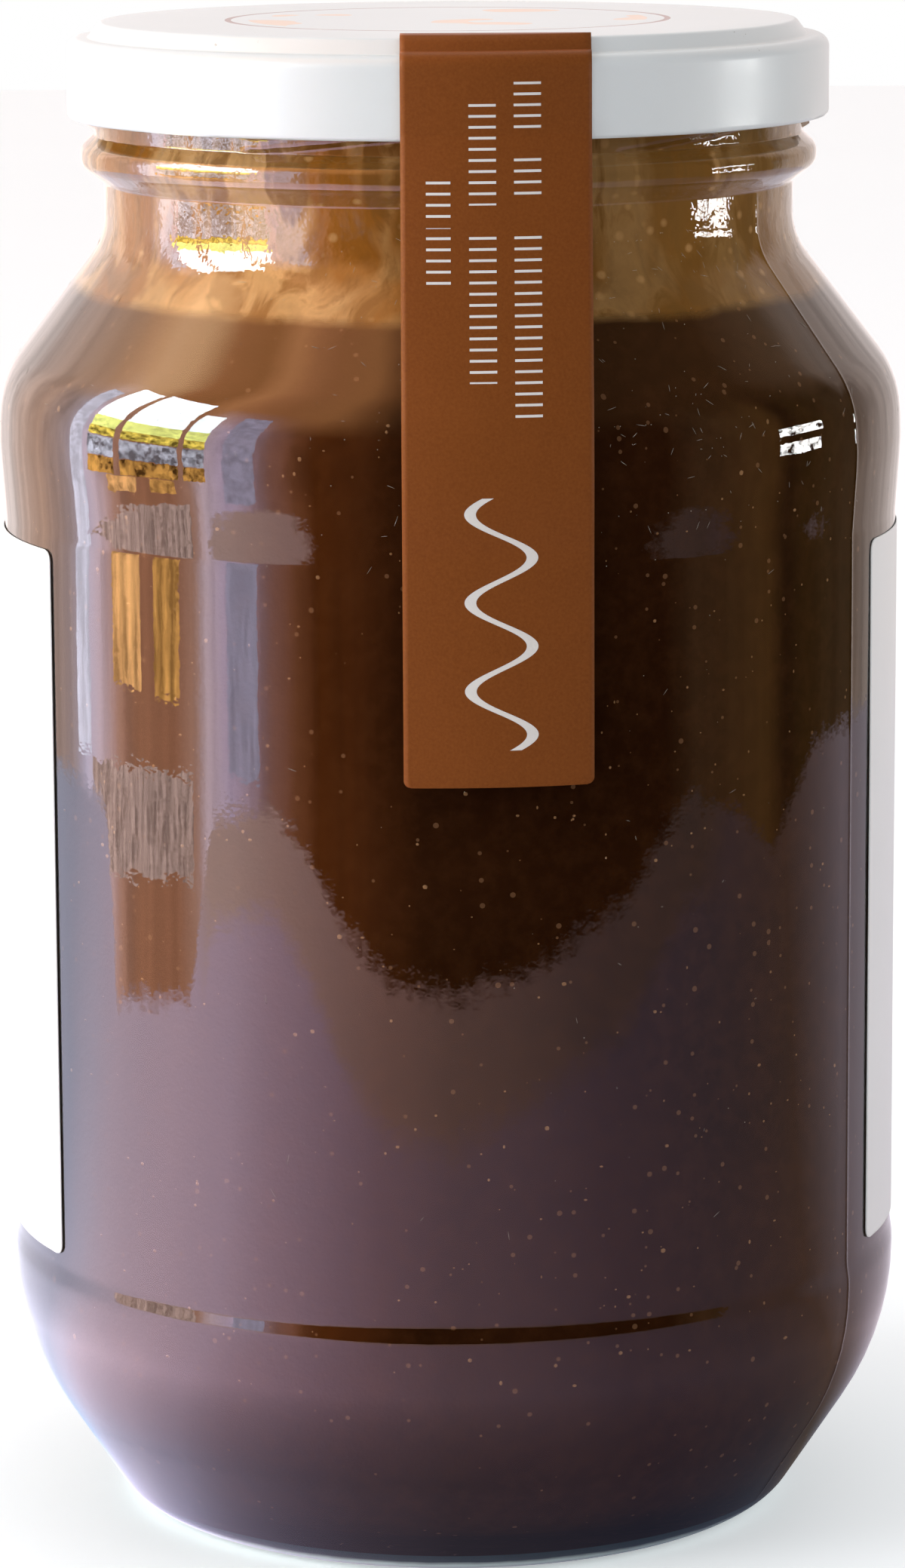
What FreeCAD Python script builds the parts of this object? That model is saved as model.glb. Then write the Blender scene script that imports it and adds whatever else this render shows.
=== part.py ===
import FreeCAD, Part
import math
import os
import re
import Sketcher

# One litre nut-butter jar, closed: a blown glass jar with six thread starts, a twist-off steel lid
# with six lugs, the lid's sealing ring, the filling, a seal strip and a wrapped side label.
# Millimetres, +Z up, origin at the centre of the base on the surface it stands on, front towards -Y.

SIZES = {
    # glass body
    "glass_height": (169.15, "base to sealing rim"),
    "heel_radius": (51.15, "widest part of the heel"),
    "wall": (3.0, "glass wall"),
    "panel_recess": (0.28, "label panel inside the heel radius"),
    "shoulder_swell": (0.55, "shoulder bulge outside the heel radius, before rounding"),
    "shoulder_inset": (0.12, "top edge of the bulge inside the heel radius, before rounding"),
    "bulge_height": (7.9, "widest line of the bulge below its top edge"),
    "bulge_foot": (6.0, "foot of the bulge below its widest line"),
    "foot_round": (10.0, "blend of the bulge into the label panel"),
    "bulge_round": (30.0, "rounding of the bulge"),
    "shoulder_round": (12.0, "rounding from the bulge into the cone"),
    "cone_angle": (37.4, "shoulder cone from the axis, degrees"),
    "root_round": (8.0, "blend of the cone into the neck"),
    # heel and base
    "taper_angle": (33.2, "heel taper from the axis, degrees"),
    "heel_corner": (20.3, "height where taper and heel would meet unrounded"),
    "heel_round": (30.0, "rounding of the heel"),
    "ledge_low": (30.3, "foot of the small ledge under the label panel"),
    "ledge_rise": (1.9, "height of the ledge"),
    "ledge_round": (6.0, "rounding of the ledge"),
    "base_round": (5.9, "rounding from taper to bearing ring"),
    "bearing_width": (4.7, "bearing ring before rounding"),
    "bearing_round": (1.2, "inner rounding of the bearing ring"),
    "pushup_flank": (7.0, "width of the cone inside the bearing ring"),
    "pushup_height": (3.0, "depth of the pushed-up base"),
    "pushup_round": (6.0, "rounding of the pushed-up base"),
    "floor_edge": (5.8, "inner floor at its edge"),
    "floor_crown": (1.1, "rise of the inner floor at its middle"),
    "floor_flat": (16.0, "radius of the level middle of the inner floor"),
    "crown_round": (40.0, "blend of the inner floor's middle"),
    "floor_round": (9.0, "inner rounding at the floor"),
    # neck and finish
    "finish_radius": (40.0, "finish wall that the lid screws on"),
    "finish_wall": (3.1, "wall of neck and finish"),
    "neck_relief": (1.0, "neck inside the finish wall"),
    "neck_drop": (22.62, "cone meets neck, below the rim"),
    "rim_round": (0.9, "rounding of the sealing rim"),
    "bead_drop": (10.95, "top edge of the transfer bead below the rim"),
    "bead_height": (5.5, "height of the transfer bead"),
    "bead_reach": (1.65, "transfer bead outside the finish wall"),
    "bead_flank": (2.1, "height of the bead's lower flank"),
    "bead_cap": (1.5, "height of the bead's upper flank"),
    "bead_round": (1.6, "rounding of the bead"),
    "bead_root": (0.5, "blend of the bead into neck and finish"),
    # thread starts
    "thread_count": (6, "thread starts, and lugs"),
    "thread_azimuth": (-1.1, "low end of a thread start, degrees from +X"),
    "thread_span": (58.0, "turn of one thread start, degrees"),
    "thread_pitch": (27.0, "rise of a thread start in a full turn"),
    "thread_reach": (0.85, "thread crest outside the finish wall"),
    "thread_root": (1.15, "half height of a thread at the wall"),
    "thread_crest": (0.75, "half height of a thread at its crest"),
    "thread_round": (0.5, "rounding of the crest"),
    "thread_bed": (0.6, "depth of a thread's foot inside the wall"),
    # lid
    "sheet": (0.3, "lid sheet with its enamel"),
    "lid_height": (10.7, "lid from curl to panel"),
    "skirt_clearance": (1.85, "skirt outside the thread crests"),
    "panel_rise": (1.7, "raised panel above the ledge"),
    "bevel_run": (1.25, "width of the bevel round the panel"),
    "ledge_width": (2.45, "ledge from bevel to skirt"),
    "panel_round": (0.7, "rounding of the panel edge"),
    "bevel_root": (0.4, "rounding at the foot of the bevel"),
    "lid_round": (1.4, "rounding from ledge to skirt"),
    "curl": (1.3, "rolled edge"),
    "curl_round": (0.6, "rounding of the rolled edge"),
    "lug_advance": (48.1, "lug from the low end of its thread start, degrees"),
    "lug_height": (1.1, "height of a lug"),
    "lug_width": (8.4, "width of a lug along the skirt"),
    "lug_clearance": (0.25, "lug off the finish wall"),
    "lug_recess": (0.15, "lug behind the skirt's outer face"),
    "thread_clearance": (0.15, "lug below its thread"),
    "dent_depth": (0.3, "dent behind a lug"),
    "dent_offset": (0.9, "centre of the dent outside the skirt"),
    "dent_height": (2.4, "height of a dent"),
    "dent_width": (10.0, "width of a dent"),
    # sealing ring
    "seal_thickness": (1.25, "sealing ring between rim and panel"),
    "seal_overhang": (0.4, "sealing ring inside the bore"),
    "seal_edge_gap": (0.2, "sealing ring off the bevel"),
    "seal_round": (0.3, "rounding of the sealing ring"),
    # filling
    "fill_drop": (5.5, "top of the filling below the foot of the neck"),
    "fill_gap": (0.1, "filling off the glass"),
    "fill_round": (0.8, "rounding at the top of the filling"),
    # seal strip
    "strip_width": (20.4, "width of the strip"),
    "strip_shift": (5.1, "strip centre to the right of the front"),
    "strip_lap": (3.0, "strip on the lid's panel"),
    "strip_tail": (31.0, "strip below the widest line of the bulge"),
    "strip_sheet": (0.22, "thickness of the strip"),
    "strip_gap": (0.2, "strip off lid and glass"),
    "strip_bend": (15.0, "bend of the strip where it meets the bulge"),
    "strip_corner": (1.0, "corners of the strip"),
    # side label
    "label_start": (-23.5, "right edge of the label, degrees from +X"),
    "label_wrap": (233.5, "label round the jar, degrees"),
    "label_foot": (1.5, "label above the ledge"),
    "label_head": (2.9, "label below the bulge"),
    "label_sheet": (0.12, "thickness of the label"),
    "label_gap": (0.05, "label off the glass"),
    "label_corner": (1.3, "corners of the label"),
}

# Heights and radii that follow from the sizes, as expressions on the sheet.
PANEL_RADIUS = "(heel_radius - panel_recess)"
INNER_RADIUS = "(heel_radius - panel_recess - wall)"
BULGE_RADIUS = "(heel_radius + shoulder_swell)"
EDGE_RADIUS = "(heel_radius - shoulder_inset)"
NECK_RADIUS = "(finish_radius - neck_relief)"
BORE_RADIUS = "(finish_radius - finish_wall)"
NECK_FOOT = "(glass_height - neck_drop)"
EDGE_HEIGHT = f"({NECK_FOOT} - ({EDGE_RADIUS} - {NECK_RADIUS}) / tan(cone_angle))"
BULGE_LINE = f"({EDGE_HEIGHT} - bulge_height)"
PANEL_TOP = f"({BULGE_LINE} - bulge_foot)"
PANEL_FOOT = "(ledge_low + ledge_rise)"
BEARING_RADIUS = "(heel_radius - heel_corner * tan(taper_angle))"
CONE_WALL = "(wall / cos(cone_angle))"
TAPER_WALL = "(wall / cos(taper_angle))"
BORE_FOOT = f"({NECK_FOOT} - ({BORE_RADIUS} - {NECK_RADIUS} + {CONE_WALL}) / tan(cone_angle))"
INNER_EDGE = f"({NECK_FOOT} - ({INNER_RADIUS} - {NECK_RADIUS} + {CONE_WALL}) / tan(cone_angle))"
INNER_HEEL = f"(heel_corner - (heel_radius - {INNER_RADIUS} - {TAPER_WALL}) / tan(taper_angle))"
FLOOR_RADIUS = f"({INNER_RADIUS} - ({INNER_HEEL} - floor_edge) * tan(taper_angle))"
CONE_LENGTH = f"(({EDGE_RADIUS} - {NECK_RADIUS}) / sin(cone_angle))"
BEAD_TOP = "(glass_height - bead_drop)"
BEAD_FOOT = "(glass_height - bead_drop - bead_height)"
BEAD_RADIUS = "(finish_radius + bead_reach)"
LID_TOP = "(glass_height + seal_thickness + sheet)"
LID_FOOT = f"({LID_TOP} - lid_height)"
LID_LEDGE = f"({LID_TOP} - panel_rise)"
LID_RADIUS = "(finish_radius + thread_reach + skirt_clearance + sheet)"
BEVEL_FOOT = f"({LID_RADIUS} - ledge_width)"
PANEL_EDGE = f"({BEVEL_FOOT} - bevel_run)"
CURL_LEVEL = f"({LID_FOOT} + curl / 2)"
THREAD_LOW = (f"({CURL_LEVEL} + lug_height / 2 + thread_clearance + thread_root"
              " - thread_pitch * (lug_advance - lug_width / 2 / finish_radius * 180 / pi) / 360)")
LUG_TIP = "(finish_radius + lug_clearance)"
FILL_TOP = f"({NECK_FOOT} - fill_drop)"
FILL_EDGE = f"({NECK_RADIUS} - {CONE_WALL} - fill_gap + ({NECK_FOOT} - {FILL_TOP}) * tan(cone_angle))"

doc = FreeCAD.newDocument("NutButterJar")
sheet = doc.addObject("Spreadsheet::Sheet", "Sizes")
for row, (name, (number, note)) in enumerate(SIZES.items(), start=1):
    sheet.set(f"A{row}", name)
    sheet.set(f"B{row}", str(number))
    sheet.set(f"C{row}", note)
    sheet.setAlias(f"B{row}", name)
doc.recompute()


def on_sheet(expression):
    """Point the bare size names of an expression at the sheet's cells."""
    def cell(word):
        return "Sizes." + word.group() if word.group() in SIZES else word.group()
    return re.sub(r"[a-z]\w*", cell, expression)


def measure(expression):
    """The number that an expression on the sheet gives now."""
    return float(sheet.evalExpression(on_sheet(expression)))


def bind(thing, path, expression):
    thing.setExpression(path, on_sheet(expression))


def origin_feature(body, role):
    return next(feature for feature in body.Origin.OriginFeatures if feature.Role == role)


def new_body(name, turn=None):
    """A body, turned about +Z by the size named in turn."""
    body = doc.addObject("PartDesign::Body", name)
    body.Label = name
    if turn:
        body.Placement = FreeCAD.Placement(FreeCAD.Vector(), FreeCAD.Rotation(FreeCAD.Vector(0, 0, 1), 1))
        bind(body, "Placement.Rotation.Angle", turn)
    return body


def upright_sketch(body, name):
    """A sketch on the body's XZ plane: across is the radius, up is the height."""
    sketch = body.newObject("Sketcher::SketchObject", name)
    sketch.AttachmentSupport = [(origin_feature(body, "XZ_Plane"), "")]
    sketch.MapMode = "FlatFace"
    return sketch


def corner_round(before, corner, after, radius):
    """The two tangent points and the arc that round a corner, and whether the outline turns left there."""
    back = (before - corner).normalize()
    ahead = (after - corner).normalize()
    half = back.getAngle(ahead) / 2
    start = corner + back * (radius / math.tan(half))
    finish = corner + ahead * (radius / math.tan(half))
    centre = corner + (back + ahead).normalize() * (radius / math.sin(half))
    left = back.cross(ahead).z < 0
    ends = (start, finish) if left else (finish, start)
    angles = [math.atan2(end.y - centre.y, end.x - centre.x) for end in ends]
    arc = Part.ArcOfCircle(Part.Circle(centre, FreeCAD.Vector(0, 0, 1), radius), *angles)
    return start, finish, arc, left


def draw_outline(sketch, corners, closed=True):
    """Lines through (across, up, round) corners, each given by expressions; a round of None stays sharp."""
    points = [FreeCAD.Vector(measure(across), measure(up), 0) for across, up, rounding in corners]
    count = len(corners)
    arcs = {}
    for i, (across, up, rounding) in enumerate(corners):
        if rounding:
            neighbours = points[i - 1], points[i], points[(i + 1) % count]
            arcs[i] = corner_round(*neighbours, measure(rounding))
    lines = []
    for i in range(count if closed else count - 1):
        j = (i + 1) % count
        start = arcs[i][1] if i in arcs else points[i]
        finish = arcs[j][0] if j in arcs else points[j]
        lines.append(sketch.addGeometry(Part.LineSegment(start, finish), False))
    for i, (across, up, rounding) in enumerate(corners):
        before = lines[i - 1] if closed or i > 0 else None
        after = lines[i] if i < len(lines) else None
        if i in arcs:
            arc = sketch.addGeometry(arcs[i][2], False)
            near, far = (1, 2) if arcs[i][3] else (2, 1)
            sketch.addConstraint(Sketcher.Constraint("Tangent", before, 2, arc, near))
            sketch.addConstraint(Sketcher.Constraint("Tangent", arc, far, after, 1))
            bind_constraint(sketch, ("Radius", arc), rounding)
            corner = sketch.addGeometry(Part.Point(points[i]), True), 1
            sketch.addConstraint(Sketcher.Constraint("PointOnObject", *corner, before))
            sketch.addConstraint(Sketcher.Constraint("PointOnObject", *corner, after))
        else:
            corner = (before, 2) if after is None else (after, 1)
            if before is not None and after is not None:
                sketch.addConstraint(Sketcher.Constraint("Coincident", before, 2, after, 1))
        if across == "0":
            sketch.addConstraint(Sketcher.Constraint("PointOnObject", *corner, -2))
        else:
            bind_constraint(sketch, ("DistanceX", -1, 1, *corner), across)
        if up == "0":
            sketch.addConstraint(Sketcher.Constraint("PointOnObject", *corner, -1))
        else:
            bind_constraint(sketch, ("DistanceY", -1, 1, *corner), up)


def bind_constraint(sketch, kind, expression):
    index = sketch.addConstraint(Sketcher.Constraint(*kind, measure(expression)))
    bind(sketch, f"Constraints[{index}]", expression)


def revolve(body, sketch, name, angle=None):
    """Turn a sketch about its vertical axis, all the way round or by the size named in angle."""
    turned = body.newObject("PartDesign::Revolution", name)
    turned.Profile = sketch
    turned.ReferenceAxis = (sketch, ["V_Axis"])
    turned.Angle = 360
    if angle:
        bind(turned, "Angle", angle)
    return turned


def pattern_round(body, originals, name):
    """Repeat features once for each thread start and make the result the body's shape."""
    ring = body.newObject("PartDesign::PolarPattern", name)
    ring.Originals = originals
    ring.Axis = (origin_feature(body, "Z_Axis"), [""])
    ring.Angle = 360
    bind(ring, "Occurrences", "thread_count")
    body.Tip = ring


# --- jar_glass: one revolved wall, with six thread starts on the finish ---------------------------

CONE_SHARE = 0.48      # of the cone's length, the most that the rounding at one end takes


def limited(rounding):
    """A rounding at one end of the shoulder cone, no larger than a short cone allows."""
    return f"min({rounding}; {CONE_SHARE} * {CONE_LENGTH} / tan(cone_angle / 2))"


def glass_outline():
    outside = [
        ("0", "pushup_height", None),
        (f"{BEARING_RADIUS} - bearing_width - pushup_flank", "pushup_height", "pushup_round"),
        (f"{BEARING_RADIUS} - bearing_width", "0", "bearing_round"),
        (BEARING_RADIUS, "0", "base_round"),
        ("heel_radius", "heel_corner", "heel_round"),
        ("heel_radius", "ledge_low", "ledge_round"),
        (PANEL_RADIUS, PANEL_FOOT, "ledge_round"),
        (PANEL_RADIUS, PANEL_TOP, "foot_round"),
        (BULGE_RADIUS, BULGE_LINE, "bulge_round"),
        (EDGE_RADIUS, EDGE_HEIGHT, limited("shoulder_round")),
        (NECK_RADIUS, NECK_FOOT, limited("root_round")),
        (NECK_RADIUS, BEAD_FOOT, "bead_root"),
        (BEAD_RADIUS, f"{BEAD_FOOT} + bead_flank", "bead_round"),
        (BEAD_RADIUS, f"{BEAD_TOP} - bead_cap", "bead_round"),
        ("finish_radius", BEAD_TOP, "bead_root"),
        ("finish_radius", "glass_height", "rim_round"),
    ]
    inside = [
        (BORE_RADIUS, "glass_height", "rim_round"),
        (BORE_RADIUS, BORE_FOOT, limited("root_round")),
        (INNER_RADIUS, INNER_EDGE, limited("shoulder_round - wall")),
        (INNER_RADIUS, INNER_HEEL, "heel_round - wall"),
        (FLOOR_RADIUS, "floor_edge", "floor_round"),
        ("floor_flat", "floor_edge + floor_crown", "crown_round"),
        ("0", "floor_edge + floor_crown", None),
    ]
    return outside + inside


def thread_sketch(body, name, turn, height, outline):
    """A sketch on a plane through the axis, turned and raised, with its origin in the thread's middle."""
    sketch = upright_sketch(body, name)
    upright = FreeCAD.Rotation(FreeCAD.Vector(0, 1, 0), 1)
    sketch.AttachmentOffset = FreeCAD.Placement(FreeCAD.Vector(), upright)
    bind(sketch, "AttachmentOffset.Rotation.Angle", turn)
    bind(sketch, "AttachmentOffset.Base.y", height)
    draw_outline(sketch, outline)
    return sketch


def add_threads(body):
    """Six short rising ribs, each with rounded ends, that the lid's lugs run under."""
    bed = "finish_radius - thread_bed"
    crest = "finish_radius + thread_reach"
    rib = [
        (bed, "-thread_root", None),
        (crest, "-thread_crest", "thread_round"),
        (crest, "thread_crest", "thread_round"),
        (bed, "thread_root", None),
    ]
    half_rib = [(bed, "0", None), (crest, "0", None)] + rib[2:]
    helix = body.newObject("PartDesign::AdditiveHelix", "ThreadRib")
    section = thread_sketch(body, "ThreadSection", "0", THREAD_LOW, rib)
    helix.Profile = section
    helix.ReferenceAxis = (section, ["V_Axis"])
    helix.Mode = "pitch-turns-angle"
    bind(helix, "Pitch", "thread_pitch")
    bind(helix, "Turns", "thread_span / 360")
    features = [helix]
    rise = "thread_pitch * thread_span / 360"
    for name, turn, height in (("Low", "0", THREAD_LOW), ("High", "thread_span", f"{THREAD_LOW} + {rise}")):
        end = thread_sketch(body, f"Thread{name}Section", turn, height, half_rib)
        button = body.newObject("PartDesign::Revolution", f"Thread{name}End")
        button.Profile = end
        button.ReferenceAxis = (end, ["H_Axis"])
        button.Angle = 360
        features.append(button)
    pattern_round(body, features, "ThreadStarts")


jar_glass = new_body("jar_glass", turn="thread_azimuth")
glass_sketch = upright_sketch(jar_glass, "GlassOutline")
draw_outline(glass_sketch, glass_outline())
revolve(jar_glass, glass_sketch, "GlassWall")
add_threads(jar_glass)


# --- lid: pressed steel with a raised panel, a rolled curl and six lugs ---------------------------

def lid_outline():
    mitre = "(sheet * tan(atan(panel_rise / bevel_run) / 2))"
    return [
        ("0", LID_TOP, None),
        (PANEL_EDGE, LID_TOP, "panel_round"),
        (BEVEL_FOOT, LID_LEDGE, "bevel_root"),
        (LID_RADIUS, LID_LEDGE, "lid_round"),
        (LID_RADIUS, LID_FOOT, "curl_round"),
        (f"{LID_RADIUS} - curl", LID_FOOT, "curl_round"),
        (f"{LID_RADIUS} - curl", f"{LID_FOOT} + curl", "curl_round - sheet"),
        (f"{LID_RADIUS} - sheet", f"{LID_FOOT} + curl", "curl_round - sheet"),
        (f"{LID_RADIUS} - sheet", f"{LID_LEDGE} - sheet", "lid_round - sheet"),
        (f"{BEVEL_FOOT} - {mitre}", f"{LID_LEDGE} - sheet", None),
        (f"{PANEL_EDGE} - {mitre}", f"{LID_TOP} - sheet", None),
        ("0", f"{LID_TOP} - sheet", None),
    ]


def add_ellipsoid(body, kind, name, middle, reach, across, height, level):
    """A lug or a dent at +X: its middle radius, its half sizes along the radius, skirt and height.

    It lies with its poles along the skirt, so that they end inside the curl.
    """
    blob = body.newObject(kind, name)
    blob.AttachmentSupport = [(origin_feature(body, "XZ_Plane"), "")]
    blob.MapMode = "FlatFace"
    bind(blob, "AttachmentOffset.Base.x", middle)
    bind(blob, "AttachmentOffset.Base.y", level)
    bind(blob, "Radius1", across)
    bind(blob, "Radius2", reach)
    bind(blob, "Radius3", height)
    return blob


def add_lugs(body):
    """Six places where the curl is pressed inwards under a thread, with the dent that leaves outside."""
    outer = f"({LID_RADIUS} - lug_recess)"
    lug = add_ellipsoid(body, "PartDesign::AdditiveEllipsoid", "Lug", f"({outer} + {LUG_TIP}) / 2",
                        f"({outer} - {LUG_TIP}) / 2", "lug_width / 2", "lug_height / 2", CURL_LEVEL)
    dent = add_ellipsoid(body, "PartDesign::SubtractiveEllipsoid", "Dent", f"{LID_RADIUS} + dent_offset",
                         "dent_offset + dent_depth", "dent_width / 2", "dent_height / 2", CURL_LEVEL)
    pattern_round(body, [lug, dent], "Lugs")


lid = new_body("lid", turn="thread_azimuth + lug_advance")
lid_sketch = upright_sketch(lid, "LidOutline")
draw_outline(lid_sketch, lid_outline())
revolve(lid, lid_sketch, "LidShell")
add_lugs(lid)


# --- lid_seal: the ring of sealing compound between rim and panel ---------------------------------

lid_seal = new_body("lid_seal")
seal_inner = f"{BORE_RADIUS} - seal_overhang"
seal_outer = f"{PANEL_EDGE} - seal_edge_gap"
seal_sketch = upright_sketch(lid_seal, "SealOutline")
draw_outline(seal_sketch, [
    (seal_inner, "glass_height", "seal_round"),
    (seal_outer, "glass_height", "seal_round"),
    (seal_outer, "glass_height + seal_thickness", None),
    (seal_inner, "glass_height + seal_thickness", "seal_round"),
])
revolve(lid_seal, seal_sketch, "SealRing")


# --- nut_butter: the filling, up to its level in the shoulder -------------------------------------

nut_butter = new_body("nut_butter")
fill_sketch = upright_sketch(nut_butter, "FillOutline")
draw_outline(fill_sketch, [
    ("0", "floor_edge + floor_crown + fill_gap", None),
    ("floor_flat", "floor_edge + floor_crown + fill_gap", "crown_round"),
    (f"{FLOOR_RADIUS} - fill_gap", "floor_edge + fill_gap", "floor_round"),
    (f"{INNER_RADIUS} - fill_gap", INNER_HEEL, "heel_round - wall"),
    (f"{INNER_RADIUS} - fill_gap", INNER_EDGE, limited("shoulder_round - wall")),
    (FILL_EDGE, FILL_TOP, "fill_round"),
    ("0", FILL_TOP, None),
])
revolve(nut_butter, fill_sketch, "Filling")


# --- seal_strip: from the lid's panel over skirt and shoulder to the label panel ------------------

def flat_sketch(name):
    """A sketch of its own on the XZ plane, outside any body."""
    sketch = doc.addObject("Sketcher::SketchObject", name)
    sketch.Placement = FreeCAD.Placement(FreeCAD.Vector(), FreeCAD.Rotation(FreeCAD.Vector(1, 0, 0), 90))
    return sketch


def build_strip():
    route = flat_sketch("StripRoute")
    draw_outline(route, [
        (f"{PANEL_EDGE} - strip_lap - strip_width", f"{LID_TOP} + strip_gap", None),
        (f"{PANEL_EDGE} + strip_gap", f"{LID_TOP} + strip_gap", "panel_round"),
        (f"{BEVEL_FOOT} + strip_gap", f"{LID_LEDGE} + strip_gap", "bevel_root"),
        (f"{LID_RADIUS} + strip_gap", f"{LID_LEDGE} + strip_gap", "lid_round"),
        (f"{LID_RADIUS} + strip_gap", f"{LID_FOOT} + curl / 2", "curl_round"),
        (f"{EDGE_RADIUS} + strip_gap", EDGE_HEIGHT, "strip_bend"),
        (f"{BULGE_RADIUS} + strip_gap", BULGE_LINE, "bulge_round"),
        (f"{PANEL_RADIUS} + strip_gap", PANEL_TOP, "foot_round"),
        (f"{PANEL_RADIUS} + strip_gap", f"{BULGE_LINE} - strip_tail - strip_corner", None),
    ], closed=False)
    section = doc.addObject("Part::Offset2D", "StripSection")
    section.Source = route
    section.Fill = True
    section.Mode = "Skin"
    bind(section, "Value", "strip_sheet")
    round_band = doc.addObject("Part::Revolution", "StripRound")
    round_band.Source = section
    round_band.Axis = FreeCAD.Vector(0, 0, 1)
    round_band.Angle = 360
    round_band.Solid = True
    face = flat_sketch("StripFace")
    left = "strip_shift - strip_width / 2"
    right = "strip_shift + strip_width / 2"
    foot = f"{BULGE_LINE} - strip_tail"
    draw_outline(face, [
        (left, foot, "strip_corner"),
        (right, foot, "strip_corner"),
        (right, f"{LID_TOP} + strip_width", None),
        (left, f"{LID_TOP} + strip_width", None),
    ])
    bind(face, "Placement.Base.y", f"strip_lap - {PANEL_EDGE}")
    prism = doc.addObject("Part::Extrusion", "StripPrism")
    prism.Base = face
    prism.DirMode = "Normal"
    prism.Solid = True
    bind(prism, "LengthFwd", "heel_radius")
    strip = doc.addObject("Part::Common", "seal_strip")
    strip.Label = "seal_strip"
    strip.Base = round_band
    strip.Tool = prism
    return strip


seal_strip = build_strip()


# --- side_label: one paper label wrapped round the back -------------------------------------------

side_label = new_body("side_label", turn="label_start")
label_sketch = upright_sketch(side_label, "LabelSection")
label_inner = f"{PANEL_RADIUS} + label_gap"
label_outer = f"{PANEL_RADIUS} + label_gap + label_sheet"
draw_outline(label_sketch, [
    (label_inner, f"{PANEL_FOOT} + label_foot", None),
    (label_outer, f"{PANEL_FOOT} + label_foot", None),
    (label_outer, f"{PANEL_TOP} - label_head", None),
    (label_inner, f"{PANEL_TOP} - label_head", None),
])
label_wrap = revolve(side_label, label_sketch, "LabelWrap", angle="label_wrap")
doc.recompute()
corner_edges = [f"Edge{i}" for i, edge in enumerate(label_wrap.Shape.Edges, start=1)
                if edge.Length < 2 * measure("label_sheet")]
label_corners = side_label.newObject("PartDesign::Fillet", "LabelCorners")
label_corners.Base = (label_wrap, corner_edges)
bind(label_corners, "Radius", "label_corner")
side_label.Tip = label_corners


# --- checks and export ----------------------------------------------------------------------------

doc.recompute()
for thing in doc.Objects:
    if "Invalid" in thing.State or "Error" in thing.State:
        raise RuntimeError(f"{thing.Name} did not build: {thing.getStatusString()}")

os.makedirs("parts", exist_ok=True)
for node in (jar_glass, lid, lid_seal, nut_butter, seal_strip, side_label):
    shape = node.Shape
    if shape.isNull() or not shape.isValid() or len(shape.Solids) != 1:
        raise RuntimeError(f"{node.Label} is not one valid solid")
    shape.exportStep(f"parts/{node.Label}.step")
    print(node.Label, round(shape.Volume, 1), shape.BoundBox)
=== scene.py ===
import math

import bmesh
import bpy
import numpy as np
from mathutils import Matrix, Vector


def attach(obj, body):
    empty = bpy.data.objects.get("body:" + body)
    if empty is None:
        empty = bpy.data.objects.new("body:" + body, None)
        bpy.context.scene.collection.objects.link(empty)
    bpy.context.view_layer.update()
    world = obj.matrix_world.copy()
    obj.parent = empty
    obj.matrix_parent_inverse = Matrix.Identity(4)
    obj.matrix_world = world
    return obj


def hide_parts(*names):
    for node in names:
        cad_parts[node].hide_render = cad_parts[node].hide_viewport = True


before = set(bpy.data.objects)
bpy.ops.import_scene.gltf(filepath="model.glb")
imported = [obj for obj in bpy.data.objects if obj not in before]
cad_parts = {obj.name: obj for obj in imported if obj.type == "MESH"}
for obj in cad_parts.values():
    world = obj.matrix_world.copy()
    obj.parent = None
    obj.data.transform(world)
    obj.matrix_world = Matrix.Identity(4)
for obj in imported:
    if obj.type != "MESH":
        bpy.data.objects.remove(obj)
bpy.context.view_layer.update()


# --- jar glass --------------------------------------------------------------------------------
# A blown soda-lime jar of one piece: pushed-up base, tapered heel, straight label panel, shoulder
# cone, neck with a transfer bead, and a finish with six thread starts. Its wall is about 3 mm.

MM = 0.001
# Outlines are corners (radius, height, rounding) in mm, here and in the sections below.
GLASS_OUTSIDE = [
    (0.0, 3.0, 0.0), (26.17, 3.0, 6.0), (33.17, 0.0, 1.2), (37.87, 0.0, 5.9), (51.15, 20.3, 30.0),
    (51.15, 30.3, 6.0), (50.87, 32.2, 6.0), (50.87, 115.3, 10.0), (51.5, 124.3, 28.0),
    (51.03, 130.8, 12.0), (39.0, 146.53, 8.0), (39.0, 152.7, 0.5), (41.65, 154.8, 1.6),
    (41.65, 156.7, 1.6), (40.0, 158.2, 0.5), (40.0, 169.15, 0.9), (38.4, 169.15, 0.0),
]
GLASS_INSIDE = [
    (38.4, 169.15, 0.0), (36.9, 169.15, 0.9), (36.9, 144.34, 8.0), (47.87, 129.99, 9.0),
    (47.87, 20.77, 27.0), (38.08, 5.8, 9.0), (16.0, 6.9, 40.0), (0.0, 6.9, 0.0),
]
BROAD_RIPPLE, NARROW_RIPPLE, INNER_DRIFT = 0.045, 0.011, 0.12
SEAM_AZIMUTHS = (-29.5, 150.5)
SEAM_RISE, SEAM_HALF_WIDTH = 0.07, 0.22
PARTING_HEIGHT, PARTING_HALF_WIDTH = 151.6, 0.25
FINISH_RADIUS = 40.0
THREAD_STARTS = 6
THREAD_AZIMUTH, THREAD_FOOT = -1.1, 159.34
THREAD_SWEEP, THREAD_LEAD = 58.0, 27.0
THREAD_HALF_WIDTH, THREAD_EDGE, THREAD_RISE = 1.2, 0.6, 0.85


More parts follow.
